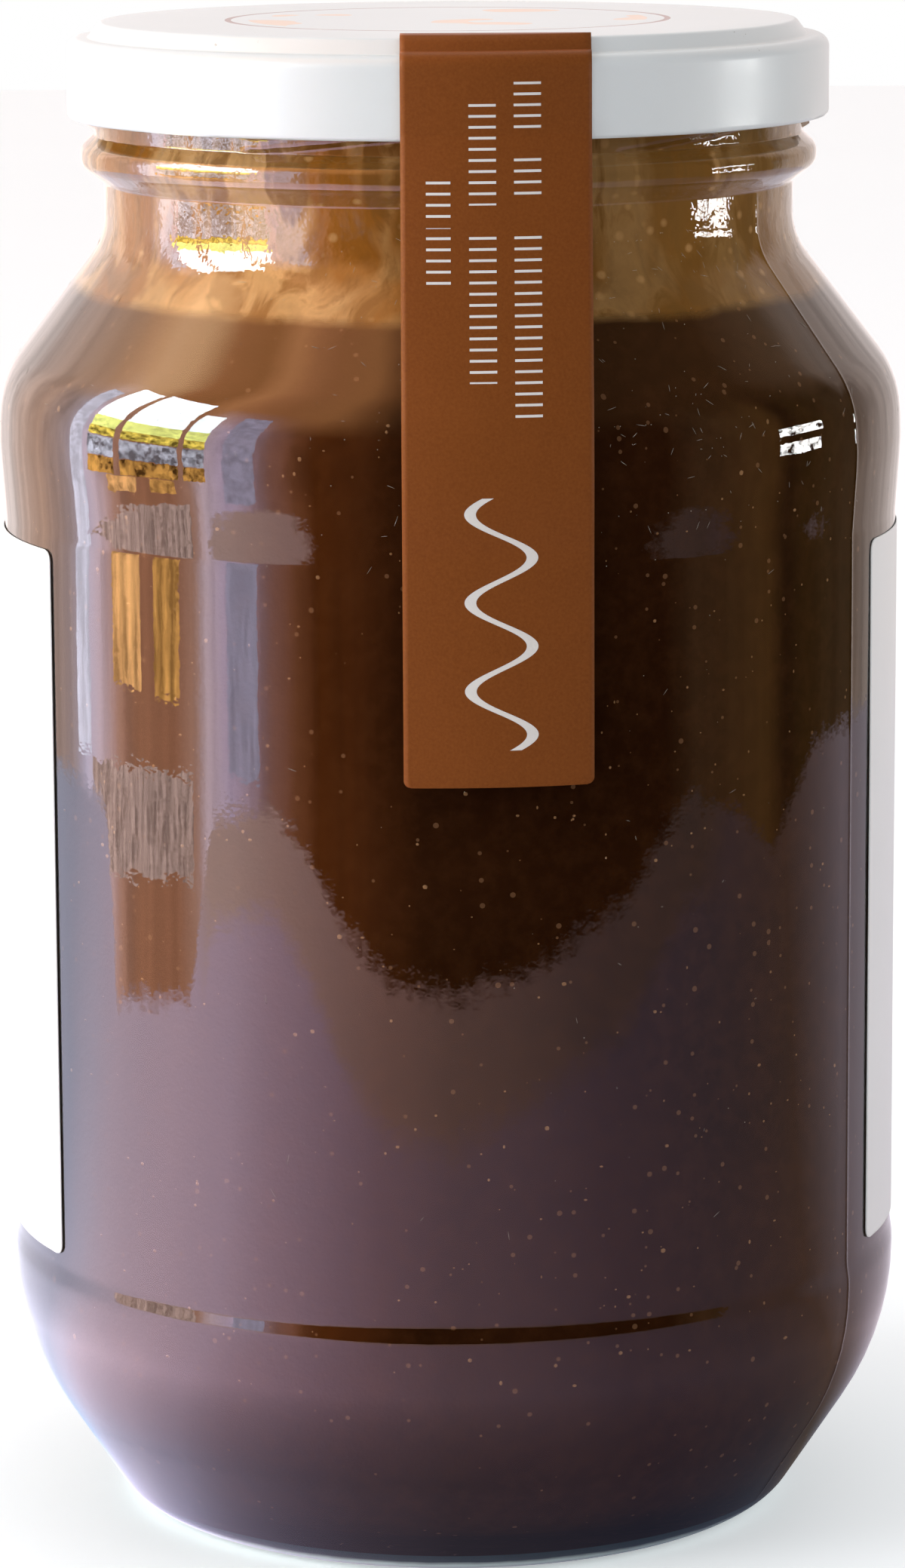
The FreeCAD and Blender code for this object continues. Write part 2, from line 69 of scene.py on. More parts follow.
def rounded(corners, turn=5.0):
    """The outline through corners (radius, height, rounding), all in mm, with an arc at each."""
    points = []
    for i, (x, y, rounding) in enumerate(corners):
        here = np.array((x, y))
        if rounding == 0.0 or i in (0, len(corners) - 1):
            points.append(here)
            continue
        back = np.array(corners[i - 1][:2]) - here
        ahead = np.array(corners[i + 1][:2]) - here
        back /= np.linalg.norm(back)
        ahead /= np.linalg.norm(ahead)
        half = math.acos(np.clip(back @ ahead, -1.0, 1.0)) / 2
        setback = rounding / math.tan(half)
        middle = here + (back + ahead) / np.linalg.norm(back + ahead) * rounding / math.sin(half)
        first = here + back * setback - middle
        last = here + ahead * setback - middle
        sweep = math.pi - 2 * half
        steps = max(2, math.ceil(math.degrees(sweep) / turn))
        for k in range(steps + 1):
            a = k / steps * sweep
            points.append(middle + (first * math.sin(sweep - a) + last * math.sin(a)) / math.sin(sweep))
    return np.array(points)


def divided(points, step, fine=None):
    """The same outline with no run longer than step, or than fine[0] between heights fine[1] and fine[2]."""
    out = [points[0]]
    for a, b in zip(points[:-1], points[1:]):
        within = fine and fine[1] < (a[1] + b[1]) / 2 < fine[2]
        count = max(1, math.ceil(np.linalg.norm(b - a) / (fine[0] if within else step)))
        out += [a + (b - a) * k / count for k in range(1, count + 1)]
    return np.array(out)


def ripple(azimuth, height, seed, around, along):
    """Smooth unevenness between about -1 and 1 over a wall, closing on itself round the axis."""
    chance = np.random.default_rng(seed)
    total = np.zeros(np.broadcast(azimuth, height).shape)
    for _ in range(9):
        waves = chance.integers(around[0], around[1] + 1)
        pitch = chance.uniform(-1.0, 1.0) * 2 * math.pi / along
        total += np.cos(waves * azimuth + pitch * height + chance.uniform(0, 2 * math.pi))
    return total / 5.0


def turned(profile, azimuths, shape=None):
    """Points in metres of a profile (radius, height in mm) at each azimuth in radians, row by row.

    shape(radius, height, azimuth) gives the radius and height that a point really has.
    """
    azimuth, radius = np.meshgrid(azimuths, profile[:, 0])
    height = np.repeat(profile[:, 1:2], len(azimuths), axis=1)
    if shape:
        radius, height = shape(radius, height, azimuth)
    return np.stack([radius * np.cos(azimuth), radius * np.sin(azimuth), height], axis=-1) * MM


def grid_faces(rows, columns, closed):
    """Quads between the points of a grid; closed joins its last column to its first."""
    faces = []
    for r in range(rows - 1):
        for c in range(columns if closed else columns - 1):
            d = (c + 1) % columns
            low, high = r * columns, (r + 1) * columns
            faces.append((low + c, low + d, high + d, high + c))
    return faces


def new_piece(name, points, faces, material, stands_for=()):
    """A smooth-shaded mesh piece on the jar's only body."""
    mesh = bpy.data.meshes.new(name)
    mesh.from_pydata([tuple(p) for p in points], [], faces)
    tidy = bmesh.new()
    tidy.from_mesh(mesh)
    bmesh.ops.remove_doubles(tidy, verts=tidy.verts, dist=2e-6)
    bmesh.ops.dissolve_degenerate(tidy, edges=tidy.edges, dist=1e-7)
    bmesh.ops.recalc_face_normals(tidy, faces=tidy.faces)
    tidy.to_mesh(mesh)
    tidy.free()
    mesh.polygons.foreach_set("use_smooth", [True] * len(mesh.polygons))
    mesh.materials.append(material)
    piece = bpy.data.objects.new(name, mesh)
    bpy.context.scene.collection.objects.link(piece)
    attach(piece, "root")
    if stands_for:
        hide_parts(*stands_for)
    return piece


def turned_piece(name, profile, azimuths, material, shape=None, stands_for=()):
    """A piece whose wall is a profile turned round the axis."""
    return new_piece(name, turned(profile, azimuths, shape).reshape(-1, 3),
                     grid_faces(len(profile), len(azimuths), closed=True),
                     material, stands_for=stands_for)


def set_sockets(tree, node, **sockets):
    """Set or link a node's inputs: _0 is its first, other names have underscores for spaces."""
    for name, value in sockets.items():
        socket = node.inputs[int(name[1:]) if name[0] == "_" else name.replace("_", " ")]
        if isinstance(value, bpy.types.NodeSocket):
            tree.links.new(value, socket)
        else:
            socket.default_value = (*value, 1.0) if socket.type == "RGBA" else value


def new_material(name, **settings):
    """A node material, its tree and its Principled shader, with the shader's plain values."""
    material = bpy.data.materials.new(name)
    material.use_nodes = True
    tree = material.node_tree
    shader = tree.nodes["Principled BSDF"]
    set_sockets(tree, shader, **settings)
    return material, tree, shader


def add_node(tree, kind, label="", operation=None, **sockets):
    """A shader node with its inputs set or linked."""
    node = tree.nodes.new(kind)
    node.label = label
    if operation:
        node.operation = operation
    set_sockets(tree, node, **sockets)
    return node


def calculate(tree, operation, a, b=0.0, c=0.0, clamp=False):
    """The output of one Math node."""
    node = add_node(tree, "ShaderNodeMath", operation=operation, _0=a, _1=b, _2=c)
    node.use_clamp = clamp
    return node.outputs[0]


def multiply(tree, a, b):
    """The product of two values."""
    return calculate(tree, "MULTIPLY", a, b)


def spread(tree, value, low, high, **ends):
    """A value taken from low and high to 0 and 1, or to To_Min and To_Max, and held beyond them."""
    return add_node(tree, "ShaderNodeMapRange", Value=value, From_Min=low, From_Max=high, **ends).outputs[0]


def noise(tree, place, size, **settings):
    """The value of one Noise node; a larger size gives finer noise."""
    return add_node(tree, "ShaderNodeTexNoise", Vector=place, Scale=size, **settings).outputs["Fac"]


def own_place(tree):
    """Where a point lies on its piece, in metres."""
    return add_node(tree, "ShaderNodeTexCoord").outputs["Object"]


def axes_of(tree, vector):
    """The three parts of a vector."""
    return add_node(tree, "ShaderNodeSeparateXYZ", Vector=vector).outputs


def blend_colours(tree, share, first, second):
    """The output of one Mix node between two colours, each a socket or three numbers."""
    node = tree.nodes.new("ShaderNodeMix")
    node.data_type = "RGBA"
    set_sockets(tree, node, _0=share, _6=first, _7=second)
    return node.outputs[2]


def new_group(name, inputs, outputs):
    """A node group with named sockets; inputs are (name, kind, default), outputs (name, kind)."""
    group = bpy.data.node_groups.new(name, "ShaderNodeTree")
    for label, kind, default in inputs:
        socket = group.interface.new_socket(name=label, in_out="INPUT", socket_type="NodeSocket" + kind)
        socket.default_value = default
    for label, kind in outputs:
        group.interface.new_socket(name=label, in_out="OUTPUT", socket_type="NodeSocket" + kind)
    return group, group.nodes.new("NodeGroupInput"), group.nodes.new("NodeGroupOutput")


def place_group(tree, group, **sockets):
    """The outputs of a node group placed in a material, with its own values."""
    node = tree.nodes.new("ShaderNodeGroup")
    node.node_tree = group
    set_sockets(tree, node, **sockets)
    return node.outputs


# Grain: even fine unevenness with a soft mottle, for paper, vinyl, enamel and compound.
grain, grain_in, grain_out = new_group(
    "surface grain",
    [("Fine size", "Float", 3000.0), ("Coarse size", "Float", 150.0), ("Height", "Float", 0.02)],
    [("Fine", "Float"), ("Coarse", "Float"), ("Normal", "Vector")],
)
grain_place = own_place(grain)
fine_grain = noise(grain, grain_place, grain_in.outputs[0], Detail=3.0)
grain_bump = add_node(grain, "ShaderNodeBump", Strength=0.35, Distance=grain_in.outputs[2], Height=fine_grain)
set_sockets(grain, grain_out, Fine=fine_grain, Normal=grain_bump.outputs[0],
            Coarse=noise(grain, grain_place, grain_in.outputs[1], Detail=2.0))

glass_material, glass_tree, glass_shader = new_material(
    "clear soda-lime glass", Base_Color=(0.965, 0.992, 0.985), Roughness=0.0, IOR=1.52,
    Transmission_Weight=1.0,
)
glass_rays = add_node(glass_tree, "ShaderNodeLightPath").outputs
soft_rays = calculate(glass_tree, "MAXIMUM", glass_rays["Is Shadow Ray"], glass_rays["Is Diffuse Ray"])
glass_place = own_place(glass_tree)
neck_share = spread(glass_tree, axes_of(glass_tree, glass_place)[2], 0.140, 0.147, To_Min=0.1)
glass_bump = add_node(glass_tree, "ShaderNodeBump", Distance=0.00009, Strength=neck_share,
                      Height=noise(glass_tree, glass_place, 330.0, Detail=3.0, Roughness=0.6))
glass_body = add_node(glass_tree, "ShaderNodeVolumeAbsorption", Color=(0.55, 0.93, 0.86), Density=14.0)
set_sockets(glass_tree, glass_shader, Normal=glass_bump.outputs[0],
            Alpha=calculate(glass_tree, "MULTIPLY_ADD", soft_rays, -0.9, 1.0))
set_sockets(glass_tree, glass_tree.nodes["Material Output"], Volume=glass_body.outputs[0])


def degrees_past(azimuth, start):
    """How far an azimuth in radians lies past start in degrees, from -180 to 180 degrees."""
    return (np.degrees(azimuth) - start + 180.0) % 360.0 - 180.0


def thread_rise(height, azimuth):
    """How far the rising thread ribs with their rounded ends stand out of the finish wall, in mm."""
    rise = np.zeros(height.shape)
    for start in range(THREAD_STARTS):
        along = degrees_past(azimuth, THREAD_AZIMUTH + 360.0 / THREAD_STARTS * start)
        on_rib = np.clip(along, 0.0, THREAD_SWEEP)
        across = height - (THREAD_FOOT + THREAD_LEAD * on_rib / 360.0)
        beyond = np.radians(along - on_rib) * FINISH_RADIUS
        share = np.clip((THREAD_HALF_WIDTH - np.hypot(across, beyond)) / THREAD_EDGE, 0.0, 1.0)
        rise = np.maximum(rise, THREAD_RISE * share * share * (3 - 2 * share))
    return rise


def outer_wall(radius, height, azimuth):
    """Uneven blown wall, mould seams, the ring where finish and body mould meet, and the threads."""
    body = np.clip((height - 6.0) / 15.0, 0.0, 1.0) * np.clip((152.0 - height) / 8.0, 0.0, 1.0)
    broad = BROAD_RIPPLE * ripple(azimuth, height, 7, (3, 11), 70.0)
    narrow = NARROW_RIPPLE * ripple(azimuth, height, 8, (14, 30), 45.0)
    radius = radius + (broad + narrow) * body * (radius > 35)
    for seam in SEAM_AZIMUTHS:
        off = np.radians(degrees_past(azimuth, seam)) * radius
        on_body = (height > 4.0) * (height < PARTING_HEIGHT)
        radius = radius + SEAM_RISE * np.exp(-(off / SEAM_HALF_WIDTH) ** 2) * on_body
    off = (height - PARTING_HEIGHT) / PARTING_HALF_WIDTH
    radius = radius + SEAM_RISE * np.exp(-off ** 2) * (radius > 38.5)
    return radius + thread_rise(height, azimuth) * (height > 157.5) * (radius > 39.9), height


def inner_wall(radius, height, azimuth):
    """The inside drifts more than the mould side does."""
    share = np.clip((height - 12.0) / 15.0, 0.0, 1.0) * np.clip((160.0 - height) / 12.0, 0.0, 1.0)
    drift = INNER_DRIFT * ripple(azimuth, height, 9, (2, 9), 60.0)
    return radius + drift * share * (radius > 36.0), height


seam_columns = [seam + d for seam in SEAM_AZIMUTHS for d in (-0.5, -0.34, -0.17, 0.0, 0.17, 0.34, 0.5)]
glass_columns = np.radians(np.array(sorted(set(np.arange(-180.0, 180.0, 1.5)) | set(seam_columns))))
outside_rows = divided(rounded(GLASS_OUTSIDE), 2.0, fine=(0.4, 151.0, 165.0))
inside_rows = divided(rounded(GLASS_INSIDE), 2.0)
new_piece(
    "jar_glass_wall",
    np.concatenate([turned(outside_rows, glass_columns, outer_wall).reshape(-1, 3),
                    turned(inside_rows, glass_columns, inner_wall).reshape(-1, 3)]),
    grid_faces(len(outside_rows) + len(inside_rows), len(glass_columns), closed=True),
    glass_material, stands_for=["jar_glass"],
)


# --- painted glow and shade at the base -------------------------------------------------------
# A diffuse skin just inside the glass round the heel, where the jar stands on the table. Its colours are
# painted light for what the thick base gathers: a pale teal rim at the table is painted glow, and a dark line
# just above it is painted shade.

FOOT_HEIGHT = 3.3
FOOT_INSIDE = 33.6
# The pale colour is painted glow and the dark one is painted shade.
FOOT_PAINTED_GLOW, FOOT_PAINTED_SHADE = (0.62, 0.76, 0.74), (0.018, 0.042, 0.055)

painted_foot_material, foot_tree, foot_shader = new_material(
    "painted glow and shade at the base", Roughness=0.5, Specular_IOR_Level=0.1,
)
foot_place = own_place(foot_tree)
foot_level = calculate(foot_tree, "MULTIPLY_ADD", noise(foot_tree, foot_place, 260.0, Detail=2.0), 0.0004,
                       axes_of(foot_tree, foot_place)[2])
# Painted light: pale glow low at the table, painted shade just above it.
set_sockets(foot_tree, foot_shader, Base_Color=blend_colours(
    foot_tree, spread(foot_tree, foot_level, 0.0014, 0.0020), FOOT_PAINTED_GLOW, FOOT_PAINTED_SHADE))

on_foot = (outside_rows[:, 1] < FOOT_HEIGHT) & (outside_rows[:, 0] > FOOT_INSIDE)
foot_rows = outside_rows[on_foot] + (-0.05, 0.05)
turned_piece("painted_base_light_ring", foot_rows, glass_columns, painted_foot_material)


# --- nut butter -------------------------------------------------------------------------------
# Ground roasted nuts with their oil, filled hot and set against the glass, so it shows as a dark
# brown face with paler crumbs. It reaches just into the glass wall, which leaves no air gap.

FILL_LEVEL = 141.03
FILL_EDGE = 39.42
BUTTER_OUTLINE = [
    (0.0, 6.8, 0.0), (16.0, 6.8, 40.0), (38.13, 5.72, 9.0), (47.95, 20.75, 27.0),
    (47.95, 130.02, 9.0), (FILL_EDGE + 0.08, FILL_LEVEL, 0.4), (0.0, FILL_LEVEL - 0.6, 0.0),
]
TOP_WAVE, CONE_SLOPE = 0.5, 0.77
DARK_ROAST, WARM_ROAST = (0.0165, 0.0047, 0.0014), (0.027, 0.0079, 0.0025)
ROAST_MOTTLE, ROAST_CRUMB = (0.050, 0.0165, 0.0055), (0.21, 0.098, 0.048)

butter_material, butter_tree, butter_shader = new_material(
    "set nut butter", Roughness=0.5, Specular_IOR_Level=0.0,
)
butter_place = own_place(butter_tree)
cloud = noise(butter_tree, butter_place, 26.0, label="cloud", Detail=4.0, Roughness=0.6)
mottle = noise(butter_tree, butter_place, 420.0, label="mottle", Detail=3.0, Roughness=0.7)
crumb_cells = add_node(butter_tree, "ShaderNodeTexVoronoi", "crumb", Vector=butter_place, Scale=620.0).outputs
crumb_chance = add_node(butter_tree, "ShaderNodeSeparateColor", Color=crumb_cells["Color"]).outputs[0]
crumb_size = calculate(butter_tree, "SUBTRACT", multiply(butter_tree, crumb_chance, 0.34), 0.14)
crumbs = calculate(butter_tree, "LESS_THAN", crumb_cells["Distance"], crumb_size)
butter_colour = blend_colours(butter_tree, spread(butter_tree, cloud, 0.35, 0.68),
                              DARK_ROAST, WARM_ROAST)
butter_colour = blend_colours(butter_tree, spread(butter_tree, mottle, 0.42, 0.75, To_Max=0.45),
                              butter_colour, ROAST_MOTTLE)
butter_colour = blend_colours(butter_tree, multiply(butter_tree, crumbs, 0.5), butter_colour, ROAST_CRUMB)
butter_bump = add_node(butter_tree, "ShaderNodeBump", Strength=0.3, Distance=0.0002, Height=mottle)
set_sockets(butter_tree, butter_shader, Base_Color=butter_colour, Normal=butter_bump.outputs[0])


def butter_face(radius, height, azimuth):
    """The butter follows the inside of the glass, and its top dips and rises by half a millimetre."""
    wall_radius = inner_wall(radius, height, azimuth)[0]
    top = np.clip((height - FILL_LEVEL + 1.2) / 1.0, 0.0, 1.0)
    wave = TOP_WAVE * ripple(azimuth, radius, 11, (1, 5), 30.0) * np.clip(radius / 15.0, 0.0, 1.0)
    wall_radius = wall_radius - CONE_SLOPE * wave * top * np.clip(radius - 38.0, 0.0, 1.0)
    return wall_radius, height + wave * top


butter_columns = np.radians(np.arange(0.0, 360.0, 1.5))
turned_piece(
    "nut_butter_fill", divided(rounded(BUTTER_OUTLINE), 2.0), butter_columns, butter_material,
    shape=butter_face, stands_for=["nut_butter"],
)


# --- smear in the headspace -------------------------------------------------------------------
# A thin coat that hot butter left on the glass above its level: golden where it is thin, amber to brown where
# it ran, with small bubbles, up through the neck and the finish. Towards the right it is painted darker olive
# brown: painted shade on the side turned away from the window light.

SMEAR_OUTLINE = [
    (36.96, 168.6, 0.0), (36.97, 144.37, 8.0), (41.74, 138.2, 0.0),
]
THIN_OIL, THICK_OIL, OIL_RUN = (0.58, 0.31, 0.125), (0.30, 0.105, 0.014), (0.20, 0.080, 0.016)
# The first colour on the next line is painted shade for the smear's right side; the second is its bubbles.
SHADED_OIL, OIL_BUBBLE = (0.175, 0.080, 0.018), (0.50, 0.26, 0.10)

smear_material, smear_tree, smear_shader = new_material(
    "oily butter smear", Roughness=0.5, Specular_IOR_Level=0.0,
)
smear_place = own_place(smear_tree)
smear_axes = axes_of(smear_tree, smear_place)
stretched = add_node(smear_tree, "ShaderNodeMapping", Vector=smear_place, Scale=(1.0, 1.0, 0.32)).outputs[0]
runs = noise(smear_tree, stretched, 210.0, label="runs", Detail=5.0, Roughness=0.6, Distortion=0.8)
patches = noise(smear_tree, stretched, 85.0, label="patches", Detail=3.0, Distortion=0.4)
bubbles = add_node(smear_tree, "ShaderNodeTexVoronoi", "bubbles", Vector=smear_place, Scale=330.0).outputs
smear_colour = blend_colours(smear_tree, spread(smear_tree, patches, 0.45, 0.55), THIN_OIL, THICK_OIL)
smear_colour = blend_colours(smear_tree, multiply(smear_tree, spread(smear_tree, runs, 0.46, 0.58), 0.85),
                             smear_colour, OIL_RUN)
# Painted shade: the smear turns darker olive brown towards its right side, away from the window light.
smear_colour = blend_colours(smear_tree, spread(smear_tree, smear_axes[0], -0.012, 0.022, To_Max=0.7),
                             smear_colour, SHADED_OIL)
bubble_share = spread(smear_tree, bubbles["Distance"], 0.10, 0.22, To_Min=0.75, To_Max=0.0)
smear_colour = blend_colours(smear_tree, bubble_share, smear_colour, OIL_BUBBLE)
smear_level = calculate(smear_tree, "MULTIPLY_ADD", patches, 0.0016, smear_axes[2])
smear_cover = multiply(smear_tree, spread(smear_tree, runs, 0.30, 0.48, To_Min=0.72, To_Max=1.0),
                       spread(smear_tree, smear_level, 0.1399, 0.1411))
set_sockets(smear_tree, smear_shader, Base_Color=smear_colour, Alpha=smear_cover)

turned_piece(
    "headspace_smear", divided(rounded(SMEAR_OUTLINE), 1.0), butter_columns, smear_material,
    shape=inner_wall,
)


# --- lid --------------------------------------------------------------------------------------
# A twist-off cap pressed from thin steel and enamelled white, with a raised panel, a stepped
# ledge, a rolled curl and six lugs pressed in over the thread starts; screwed on the finish.

LID_OUTLINE = [
    (0.0, 170.7, 0.0), (39.3, 170.7, 0.7), (40.55, 169.0, 0.4), (43.0, 169.0, 1.4), (43.0, 160.0, 0.6),
    (41.7, 160.0, 0.6), (41.7, 161.3, 0.3), (42.7, 161.3, 0.3), (42.7, 168.7, 1.1), (40.41, 168.7, 0.0),
    (39.16, 170.4, 0.0), (0.0, 170.4, 0.0),
]
LUG_AZIMUTH, LUG_LEVEL, LUG_REACH, LUG_HALF_WIDTH = 47.0, 160.65, 1.45, 4.2
DENT_DEPTH, DENT_HALF_WIDTH = 0.3, 5.0
PANEL_LEVEL, RING_RADIUS, BLOTCH_RADIUS = 0.1702, 0.0248, 0.0225
ENAMEL_COOL, ENAMEL_WHITE = (0.725, 0.765, 0.775), (0.765, 0.80, 0.81)
RING_BROWN, BLOTCH_PEACH, SCUFF_GREY = (0.30, 0.17, 0.16), (0.86, 0.62, 0.47), (0.16, 0.14, 0.13)

enamel_material, enamel_tree, enamel_shader = new_material(
    "white lid enamel", Roughness=0.34, Specular_IOR_Level=0.4, Coat_Weight=0.12, Coat_Roughness=0.14,
)
enamel_grain = place_group(enamel_tree, grain, Fine_size=2600.0, Coarse_size=90.0, Height=0.00002)
enamel_place = own_place(enamel_tree)
enamel_axes = axes_of(enamel_tree, enamel_place)
from_axis = calculate(enamel_tree, "SQRT", calculate(
    enamel_tree, "ADD", multiply(enamel_tree, enamel_axes[0], enamel_axes[0]),
    multiply(enamel_tree, enamel_axes[1], enamel_axes[1])))
on_panel = calculate(enamel_tree, "GREATER_THAN", enamel_axes[2], PANEL_LEVEL)
printed_ring = calculate(enamel_tree, "COMPARE", from_axis, RING_RADIUS, 0.00035)
blotch_noise = noise(enamel_tree, enamel_place, 70.0, label="printed blotches", Detail=1.0)
blotches = multiply(enamel_tree, calculate(enamel_tree, "GREATER_THAN", blotch_noise, 0.62),
                    calculate(enamel_tree, "LESS_THAN", from_axis, BLOTCH_RADIUS))
scuff_noise = noise(enamel_tree, enamel_place, 1100.0, label="scuffs", Detail=4.0, Roughness=0.7)
scuff_place = noise(enamel_tree, enamel_place, 60.0, label="scuffed places", Detail=1.0)
scuffs = multiply(enamel_tree, calculate(enamel_tree, "GREATER_THAN", scuff_noise, 0.69),
                  calculate(enamel_tree, "GREATER_THAN", scuff_place, 0.60))
enamel_colour = blend_colours(enamel_tree, enamel_grain["Coarse"], ENAMEL_COOL, ENAMEL_WHITE)
enamel_colour = blend_colours(enamel_tree, multiply(enamel_tree, printed_ring, on_panel), enamel_colour,
                              RING_BROWN)
enamel_colour = blend_colours(enamel_tree, multiply(enamel_tree, blotches, on_panel), enamel_colour,
                              BLOTCH_PEACH)
enamel_colour = blend_colours(enamel_tree, multiply(enamel_tree, scuffs, 0.6), enamel_colour, SCUFF_GREY)
set_sockets(enamel_tree, enamel_shader, Base_Color=enamel_colour, Normal=enamel_grain["Normal"])


def pressed_lugs(radius, height, azimuth):
    """Lugs pressed inwards from the curl, and the shallow dents that they leave outside."""
    along = np.radians((np.degrees(azimuth) - LUG_AZIMUTH + 30.0) % 60.0 - 30.0) * 41.0
    level = np.abs(height - LUG_LEVEL)
    lug = np.sqrt(np.clip(1 - (along / LUG_HALF_WIDTH) ** 2, 0, 1)) * np.clip((0.9 - level) / 0.6, 0, 1)
    radius = np.where((radius < 41.9) & (radius > 40.6), radius - LUG_REACH * lug, radius)
    dent = np.clip(1 - (along / DENT_HALF_WIDTH) ** 2, 0, 1) * np.clip(1 - (level / 1.3) ** 2, 0, 1)
    return np.where(radius > 42.72, radius - DENT_DEPTH * dent, radius), height


turned_piece(
    "enamelled_lid", divided(rounded(LID_OUTLINE, 9.0), 2.0, fine=(0.25, 159.0, 162.5)),
    np.radians(np.arange(0.0, 360.0, 1.0)), enamel_material,
    shape=pressed_lugs, stands_for=["lid"],
)


# --- sealing ring -----------------------------------------------------------------------------
# A ring of soft white plastisol compound, cast into the lid's channel and pressed on the rim.
# The CAD node itself stays.

compound_material, compound_tree, compound_shader = new_material("sealing compound", Roughness=0.55)
compound_grain = place_group(compound_tree, grain, Fine_size=1500.0, Coarse_size=120.0, Height=0.00004)
set_sockets(
    compound_tree, compound_shader, Normal=compound_grain["Normal"], Base_Color=blend_colours(
        compound_tree, compound_grain["Coarse"], (0.62, 0.60, 0.56), (0.74, 0.72, 0.68)))
seal_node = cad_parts["lid_seal"]
seal_node.data.materials.clear()
seal_node.data.materials.append(compound_material)


# --- seal strip -------------------------------------------------------------------------------
# A brown vinyl strip stuck over the lid's edge and down the shoulder, so that the first opening
# shows. Its cut edges are pale. Its print is reduced to rows of plain ticks and one wavy line.

STRIP_LEFT, STRIP_RIGHT, STRIP_FOOT = -5.1, 15.3, 91.9
STRIP_END, STRIP_CORNER = 36.3, 0.8
STRIP_SHEET = 0.22
STRIP_COLUMNS = 33
DARK_VINYL, BROWN_VINYL, PALE_VINYL = (0.140, 0.035, 0.0035), (0.172, 0.045, 0.0050), (0.230, 0.069, 0.011)
PRINT_WHITE, DARK_EDGE, PALE_EDGE = (0.74, 0.71, 0.68), (0.40, 0.26, 0.19), (0.62, 0.46, 0.36)
LID_TOP = 170.9
STRIP_ROUTE = [
    (39.5, LID_TOP, 0.0), (40.75, 169.2, 0.4), (43.2, 169.2, 1.4), (43.2, 160.65, 0.6),
    (51.23, 130.8, 15.0), (51.9, 122.9, 30.0), (51.07, 116.9, 10.0), (51.07, STRIP_FOOT + 1.2, 0.0),
    (51.07, STRIP_FOOT, 0.0),
]
# Each row of ticks: its middle and half width across, the middle and half length of its run upwards.
TICK_ROWS = [(8.4, 1.45, 148.5, 17.8), (3.6, 1.45, 148.5, 17.8), (-1.1, 1.3, 150.6, 6.0)]
TICK_PITCH, TICK_HALF = 1.15, 0.12
WAVE_MIDDLE, WAVE_SWING, WAVE_TURNS, WAVE_HALF_WIDTH = 5.4, 3.3, 0.66, 0.62
WAVE_LEVEL, WAVE_HALF_LENGTH = 109.5, 13.6

vinyl_material, vinyl_tree, vinyl_shader = new_material(
    "brown strip vinyl", Roughness=0.5, Specular_IOR_Level=0.12,
)
vinyl_grain = place_group(vinyl_tree, grain, Fine_size=3400.0, Coarse_size=260.0, Height=0.00006)
vinyl_colour = blend_colours(
    vinyl_tree, vinyl_grain["Fine"],
    blend_colours(vinyl_tree, vinyl_grain["Coarse"], DARK_VINYL, BROWN_VINYL), PALE_VINYL)
vinyl_axes = axes_of(vinyl_tree, own_place(vinyl_tree))
across_mm = multiply(vinyl_tree, vinyl_axes[0], 1000.0)
up_mm = multiply(vinyl_tree, vinyl_axes[2], 1000.0)
tick = calculate(vinyl_tree, "COMPARE", calculate(vinyl_tree, "FRACT", calculate(
    vinyl_tree, "DIVIDE", up_mm, TICK_PITCH)), 0.5, TICK_HALF)
vinyl_print = 0.0
for row_middle, row_half, run_middle, run_half in TICK_ROWS:
    gap_place = add_node(vinyl_tree, "ShaderNodeCombineXYZ", X=multiply(vinyl_tree, up_mm, 0.16),
                         Y=row_middle * 3.7).outputs[0]
    in_row = multiply(vinyl_tree, calculate(vinyl_tree, "COMPARE", across_mm, row_middle, row_half),
                      calculate(vinyl_tree, "COMPARE", up_mm, run_middle, run_half))
    in_row = multiply(vinyl_tree, in_row, calculate(
        vinyl_tree, "GREATER_THAN", noise(vinyl_tree, gap_place, 1.0, Detail=0.0), 0.40))
    vinyl_print = calculate(vinyl_tree, "MULTIPLY_ADD", in_row, tick, vinyl_print)
wave_line = calculate(vinyl_tree, "MULTIPLY_ADD", calculate(
    vinyl_tree, "SINE", multiply(vinyl_tree, up_mm, WAVE_TURNS)), WAVE_SWING, WAVE_MIDDLE)
wave_print = multiply(vinyl_tree, calculate(vinyl_tree, "COMPARE", across_mm, wave_line, WAVE_HALF_WIDTH),
                      calculate(vinyl_tree, "COMPARE", up_mm, WAVE_LEVEL, WAVE_HALF_LENGTH))
vinyl_print = calculate(vinyl_tree, "ADD", vinyl_print, wave_print, clamp=True)
set_sockets(vinyl_tree, vinyl_shader, Normal=vinyl_grain["Normal"], Base_Color=blend_colours(
    vinyl_tree, vinyl_print, vinyl_colour, PRINT_WHITE))

cut_edge_material, cut_edge_tree, cut_edge_shader = new_material("cut vinyl edge", Roughness=0.6)
cut_edge_grain = place_group(cut_edge_tree, grain, Fine_size=2000.0, Coarse_size=300.0, Height=0.00003)
set_sockets(
    cut_edge_tree, cut_edge_shader, Normal=cut_edge_grain["Normal"], Base_Color=blend_colours(
        cut_edge_tree, cut_edge_grain["Coarse"], DARK_EDGE, PALE_EDGE))


